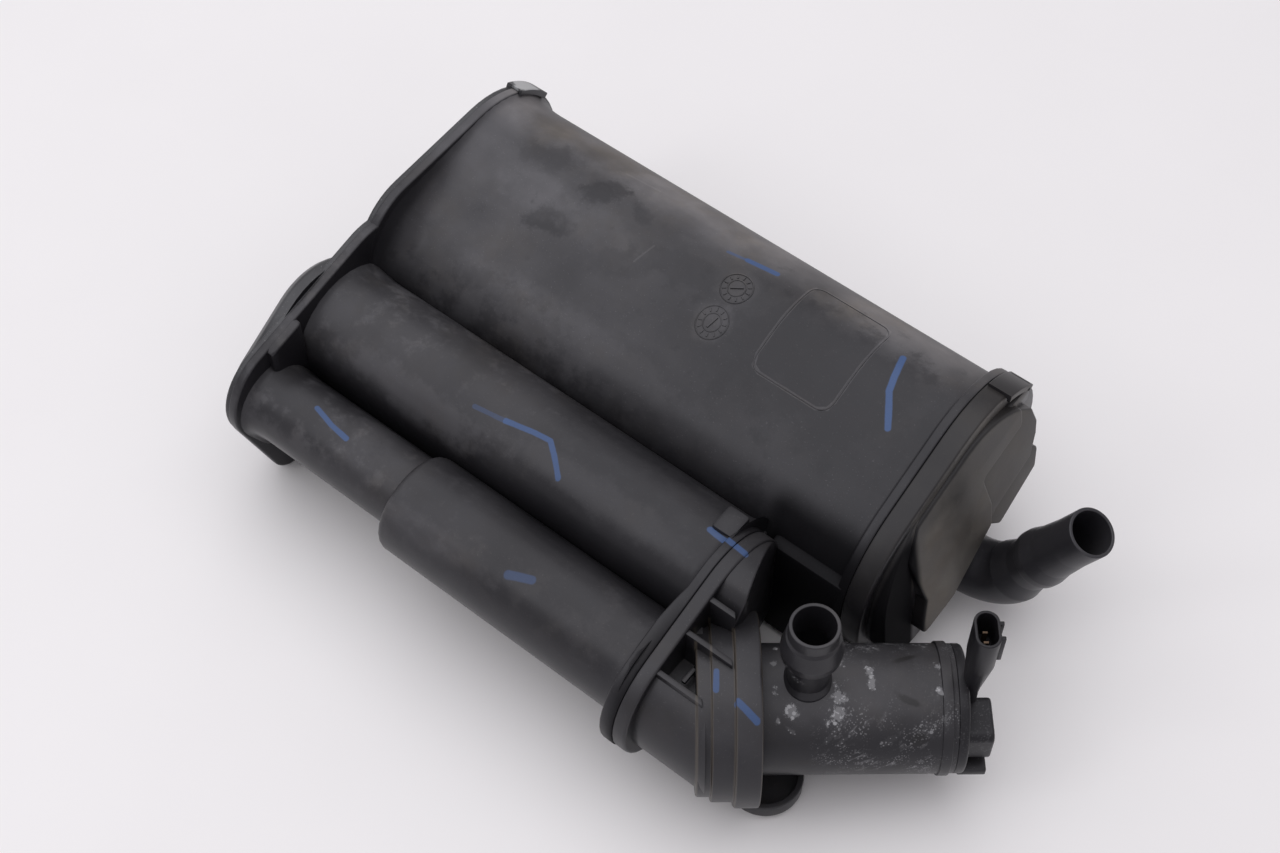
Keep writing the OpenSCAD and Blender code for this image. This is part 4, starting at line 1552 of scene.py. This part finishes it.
@dataclass
class ValveEnd:
    """Closed end of the valve with the plug socket, the lug and the hook."""

    start: float = 72.0
    radius: float = 24.2
    socket_at: float = 78.0
    socket_top: float = 98.0
    blade_at: float = 3.0
    blade_half: float = 0.8
    lug: Section = Section(((4.0, -3.0, 3.5), (-6.5, -3.0, 3.5), (-6.5, -14.5, 3.5), (4.0, -14.5, 3.5)))

    def oval(self, z: float, grow: float) -> list[Vector]:
        """Ring of the oval socket, narrower towards its foot.

        Args:
            z: height of the ring.
            grow: distance by which it is grown.

        Returns:
            The points of the ring.
        """
        share = clamp((z - 56.0) / 23.0)
        half, radius = 0.4 + 2.5 * share, 3.0 + 1.75 * share
        place = AXIS.over(self.socket_at - 0.4 * (1 - share), z)
        section = Section(((0.0, -half, radius), (0.0, half, radius)))
        return [place @ Vector((x, y, 0)) for x, y in section.ring(grow, 20, 4)]

    def build(self) -> Piece:
        """Build the end as one piece.

        Returns:
            The valve's end.
        """
        maker = MeshMaker()
        r, top = self.radius, self.socket_top
        disc = soften([(0.05, 12, 0), (0.05, r, 0.4), (4, r, 1.4), (4, 10, 0)])
        maker.turn(AXIS.along(self.start), disc, 96)
        wall = [(z, 0, 0) for z in (34.5, 54, 58, 62, 67, 73, 79)]
        profile = soften(wall + [(top, 0, 0.5), (top, -1.2, 0.4), (top - 15, -1.3, 0)])
        maker.loft([self.oval(z, grow) for z, grow in profile])
        for y in (-self.blade_at, self.blade_at):
            maker.block(AXIS.over(self.socket_at, top - 16), (4.4, y - self.blade_half, 0),
                        (6.4, y + self.blade_half, 15), 0.4)
        self.lug_shell(maker)
        return Piece(maker.finish("valve_end"), ("valve_end_cap",))

    def lug_shell(self, maker: MeshMaker) -> None:
        """Lug with its window, and the hook below it.

        Args:
            maker: takes the shells.
        """
        place = AXIS.along(self.start + 2)
        profile = soften([(0, 0, 0), (12, 0, 1.2), (12, -3.0, 0.5), (6.2, -3.1, 0)])
        maker.loft([[place @ Vector((x, y, d)) for x, y in self.lug.ring(grow, 8, 3)] for d, grow in profile])
        maker.block(place, (10, -21, 0), (14, -13, 11), 0.8)


def dress_nodes(finishes: dict[str, InnerFinish]) -> None:
    """Give each CAD node that stays its finish by material slot.

    Args:
        finishes: the finish of each of the record's material slots.
    """
    made = {slot: finish.make() for slot, finish in finishes.items()}
    for entry in frame["record"]["subparts"]:
        slot = entry["material_slot"]
        node = frame["nodes"].get(entry["node"])
        if node is None or slot not in made:
            continue
        node.data.materials.clear()
        node.data.materials.append(made[slot])
        LOG.info("node %s dressed as %s", entry["node"], slot)


INNER = {
    "black_plastic": InnerFinish("plate_plastic", (0.03, 0.03, 0.032), 0.5),
    "bobbin_plastic": InnerFinish("bobbin_plastic", (0.7, 0.67, 0.58), 0.45),
    "carbon_granules": InnerFinish("carbon", (0.022, 0.022, 0.022), 0.9, Sheen.PLAIN, 500.0),
    "filter_fleece": InnerFinish("fleece", (0.72, 0.72, 0.69), 0.95, Sheen.PLAIN, 900.0),
    "spring_steel": InnerFinish("spring_wire", (0.55, 0.56, 0.58), 0.3, Sheen.METAL),
    "soft_iron": InnerFinish("soft_iron", (0.5, 0.51, 0.53), 0.35, Sheen.METAL),
    "brass_rod": InnerFinish("brass", (0.72, 0.6, 0.33), 0.3, Sheen.METAL),
    "copper": InnerFinish("copper", (0.2, 0.14, 0.1), 0.55, Sheen.METAL),
    "seal_rubber": InnerFinish("rubber", (0.03, 0.03, 0.03), 0.7),
}

STROKES = (
    Stroke(((31.0, -120.6), (41.0, -123.0), (50.0, -124.0)), 1.3, 0.85),
    Stroke(((85.5, -87.0), (101.0, -85.0)), 1.1, 0.35),
    Stroke(((100.0, -85.0), (113.0, -82.6), (120.0, -81.8), (125.0, -85.5), (131.5, -91.1)), 1.3, 0.85),
    Stroke(((126.4, 21.3), (137.0, 23.2)), 0.9, 0.5),
    Stroke(((135.0, 22.9), (148.0, 24.8)), 1.5, 0.85),
    Stroke(((210.6, 21.2), (213.0, 12.0), (214.9, 5.8), (219.0, 0.0), (223.0, -5.9)), 1.6, 0.95),
    Stroke(((141.5, -132.5), (150.6, -129.3)), 2.0, 0.45),
    Stroke(((192.8, -75.6), (204.0, -77.0)), 1.6, 0.8),
)
ADAPTER_STROKES = (
    Stroke(((202.0, -76.6), (210.2, -77.4)), 1.6, 0.8),
    Stroke(((228.3, -117.75), (232.4, -123.35)), 1.3, 0.75),
    Stroke(((241.6, -122.45), (250.7, -123.05)), 1.5, 0.8),
)
DARK = (
    Smudge((56.0, -7.5), (9.0, 6.5), 10.0, 0.75),
    Smudge((67.5, 14.5), (9.5, 6.0), 30.0, 0.8),
    Smudge((38.0, 16.0), (11.0, 6.0), 20.0, 0.4),
    Smudge((85.0, 16.0), (8.0, 3.0), -25.0, 0.55),
    Smudge((95.0, -6.0), (14.0, 5.0), 15.0, 0.5),
    Smudge((120.0, 4.0), (22.0, 7.0), 5.0, 0.4),
    Smudge((195.0, -2.0), (46.0, 24.0), 0.0, 0.5),
    Smudge((24.0, -121.0), (24.0, 12.0), 0.0, 0.45),
    Smudge((100.0, -98.0), (170.0, 46.0), 0.0, 0.5),
)
SCUFFS = (
    Stroke(((168.0, -13.5), (195.0, -13.5), (199.0, -11.5), (200.0, -8.0), (200.0, 26.0), (198.5, 30.0),
            (195.0, 31.0), (168.0, 31.0), (164.0, 29.5), (163.0, 26.0), (163.0, -8.0), (164.5, -12.0),
            (168.0, -13.5)), 0.9, 0.3),
    Stroke(((68.0, 30.0), (84.0, 31.5)), 0.6, 0.2),
    Stroke(((98.0, -3.0), (101.0, 6.0)), 0.5, 0.2),
)
# Pale patches: dust on the dials and the tops, and painted highlight in the long narrow bands along the near
# shoulders of the chambers
PALE_DUST_AND_SHEEN = (
    Smudge((140.1, 9.0), (7.0, 7.0), 0.0, 0.16),
    Smudge((140.3, -7.0), (7.0, 7.0), 0.0, 0.2),
    Smudge((82.0, -1.0), (22.0, 9.0), -8.0, 0.10),
    Smudge((104.0, 24.0), (40.0, 7.0), 3.0, 0.10),
    Smudge((44.0, 0.0), (16.0, 8.0), 0.0, 0.12),
    Smudge((62.0, -95.0), (38.0, 5.5), 0.0, 0.16),
    Smudge((150.0, -88.0), (42.0, 6.0), 0.0, 0.10),
    Smudge((160.0, -70.0), (30.0, 5.0), 0.0, 0.05),
    Smudge((100.0, -36.0), (55.0, 5.5), -2.0, 0.11),
    Smudge((108.0, -137.0), (24.0, 3.5), 0.0, 0.12),
)
CRUSTS = (
    Smudge((28.2, 61.2), (2.4, 0.8), 0.0, 1.0), Smudge((27.0, 58.6), (2.2, 1.7), 0.0, 1.0),
    Smudge((10.8, 59.2), (1.9, 1.4), 0.0, 1.0), Smudge((4.8, 61.8), (1.0, 0.4), 0.0, 0.9),
    Smudge((6.0, 57.5), (0.9, 0.7), 0.0, 0.9), Smudge((23.5, 56.8), (1.3, 1.0), 0.0, 0.95),
    Smudge((25.4, 53.4), (4.0, 0.8), 40.0, 0.6), Smudge((30.2, 52.1), (3.6, 0.7), 35.0, 0.6),
    Smudge((40.1, 62.3), (1.5, 0.3), 0.0, 0.95), Smudge((10.1, 55.2), (2.2, 0.6), -30.0, 0.8),
    Smudge((64.9, 61.8), (1.5, 0.35), 0.0, 0.95), Smudge((61.0, 55.1), (3.2, 2.0), 0.0, 0.6),
    Smudge((46.6, 51.5), (3.2, 1.0), 30.0, 0.5), Smudge((9.0, 79.0), (2.2, 4.0), 20.0, 0.6),
    Smudge((11.5, 72.0), (2.6, 1.6), -20.0, 0.6),
)
STAINS = (
    Smudge((53.1, 60.8), (4.5, 0.5), -8.0, 0.7), Smudge((15.0, 41.9), (5.0, 1.3), 0.0, 0.6),
    Smudge((35.6, 36.5), (6.0, 1.6), 0.0, 0.5), Smudge((57.0, 52.0), (3.5, 2.5), 0.0, 0.45),
)


@dataclass
class Studio:
    """Floor, light and camera of the picture."""

    target: Corner = (105.0, -8.0, -6.3)
    distance: float = 901.0
    azimuth: float = 38.7
    elevation: float = 55.0
    lens: float = 57.94
    sensor: float = 36.0
    floor_half: float = 6.0
    floor_dark: Colour = (0.9, 0.885, 0.9)
    floor_pale: Colour = (0.94, 0.925, 0.94)
    sky: Colour = (0.97, 0.945, 0.97)
    sky_strength: float = 0.52

    def camera(self) -> None:
        """Set the camera at the photograph's viewing angle."""
        a, e = math.radians(self.azimuth), math.radians(self.elevation)
        back = Vector((math.sin(a) * math.cos(e), -math.cos(a) * math.cos(e), math.sin(e)))
        data = bpy.data.cameras.new("camera")
        data.sensor_width, data.lens = self.sensor, self.lens
        data.clip_start, data.clip_end = 0.01, 50.0
        made = new_object("camera", data)
        made.location = to_frame(self.target) + back * (self.distance / MM_PER_METRE)
        made.rotation_euler = back.to_track_quat("Z", "Y").to_euler()
        bpy.context.scene.camera = made

    def floor(self) -> None:
        """Lay a plain pale floor."""
        data = bpy.data.meshes.new("floor")
        far = self.floor_half
        data.from_pydata([(-far, -far, 0), (far, -far, 0), (far, far, 0), (-far, far, 0)], [], [(0, 1, 2, 3)])
        made = new_object("floor", data)
        tree = ShaderTree("pale_floor")
        soft = tree.clouds(9.0, 3.0)
        made.data.materials.append(tree.close(tree.mix(soft, self.floor_dark, self.floor_pale), 0.6))

    def lamp(self, name: str, place: Sequence[float], size: float, power: float) -> None:
        """Hang a soft square lamp that looks at the object.

        Args:
            name: name of the lamp.
            place: its place in metres.
            size: length of its sides in metres.
            power: its power in watts.
        """
        data = bpy.data.lights.new(name, "AREA")
        data.shape, data.size, data.energy = "SQUARE", size, power
        made = new_object(name, data)
        made.location = place
        made.rotation_euler = Vector(place).to_track_quat("Z", "Y").to_euler()

    def light(self) -> None:
        """Set a pale world, a broad lamp overhead and a small one for the shine on the rear shoulders."""
        world = bpy.data.worlds.new("studio")
        bpy.context.scene.world = world
        world.use_nodes = True
        shade = world.node_tree.nodes["Background"]
        shade.inputs[0].default_value = (*self.sky, 1.0)
        shade.inputs[1].default_value = self.sky_strength
        self.lamp("top_lamp", (-0.3, 0.05, 1.7), 2.4, 19.0)
        self.lamp("shoulder_lamp", (-0.58, -1.0, 1.1), 0.4, 1.5)
        bpy.context.scene.view_settings.view_transform = "Standard"

    def build(self) -> None:
        """Set up the whole studio."""
        self.camera()
        self.floor()
        self.light()


def main() -> None:
    """Build and dress every piece in order."""
    logging.basicConfig(level=logging.INFO, format="%(message)s")
    Studio().build()
    dress_nodes(INNER)
    case = CasePlastic("case_plastic", film=0.1, far_dust_and_sheen=8.0, rear=2.6, shine=0.42, soiled=0.45,
                       strokes=STROKES, scuffs=SCUFFS, dark=DARK, pale=PALE_DUST_AND_SHEEN).make()
    rear = DustyPlastic("rear_plastic", dust=(0.5, 0.51, 0.53), film=0.1,
                        pale=(Smudge((2.5, 42.5), (5.0, 5.0), 0.0, 2.0),)).make()
    cover = CoverPlastic("cover_plastic", film=0.52, shine=0.35, dust=(0.21, 0.197, 0.176), soiled=0.7).make()
    pipe = DustyPlastic("pipe_plastic", film=0.12, base=(0.018, 0.0175, 0.021)).make()
    adapter = BandedPlastic("adapter_plastic", film=0.15, shine=0.4, soiled=0.6,
                            strokes=ADAPTER_STROKES).make()
    valve = ValvePlastic("valve_plastic", film=0.24, shine=0.38, crusts=CRUSTS, stains=STAINS).make()
    end = ValvePlastic("valve_end_plastic", film=0.08, shine=0.3, speckle=0.2).make()
    front = FrontCover()
    Housing().build(case).dress(case)
    RearCover().build().dress(rear)
    front.build().dress(cover)
    TankPipe(front).build().dress(pipe)
    ValveAdapter().build().dress(adapter)
    ValveBody().build().dress(valve)
    ValveEnd().build().dress(end)


if __name__ == "__main__":
    main()
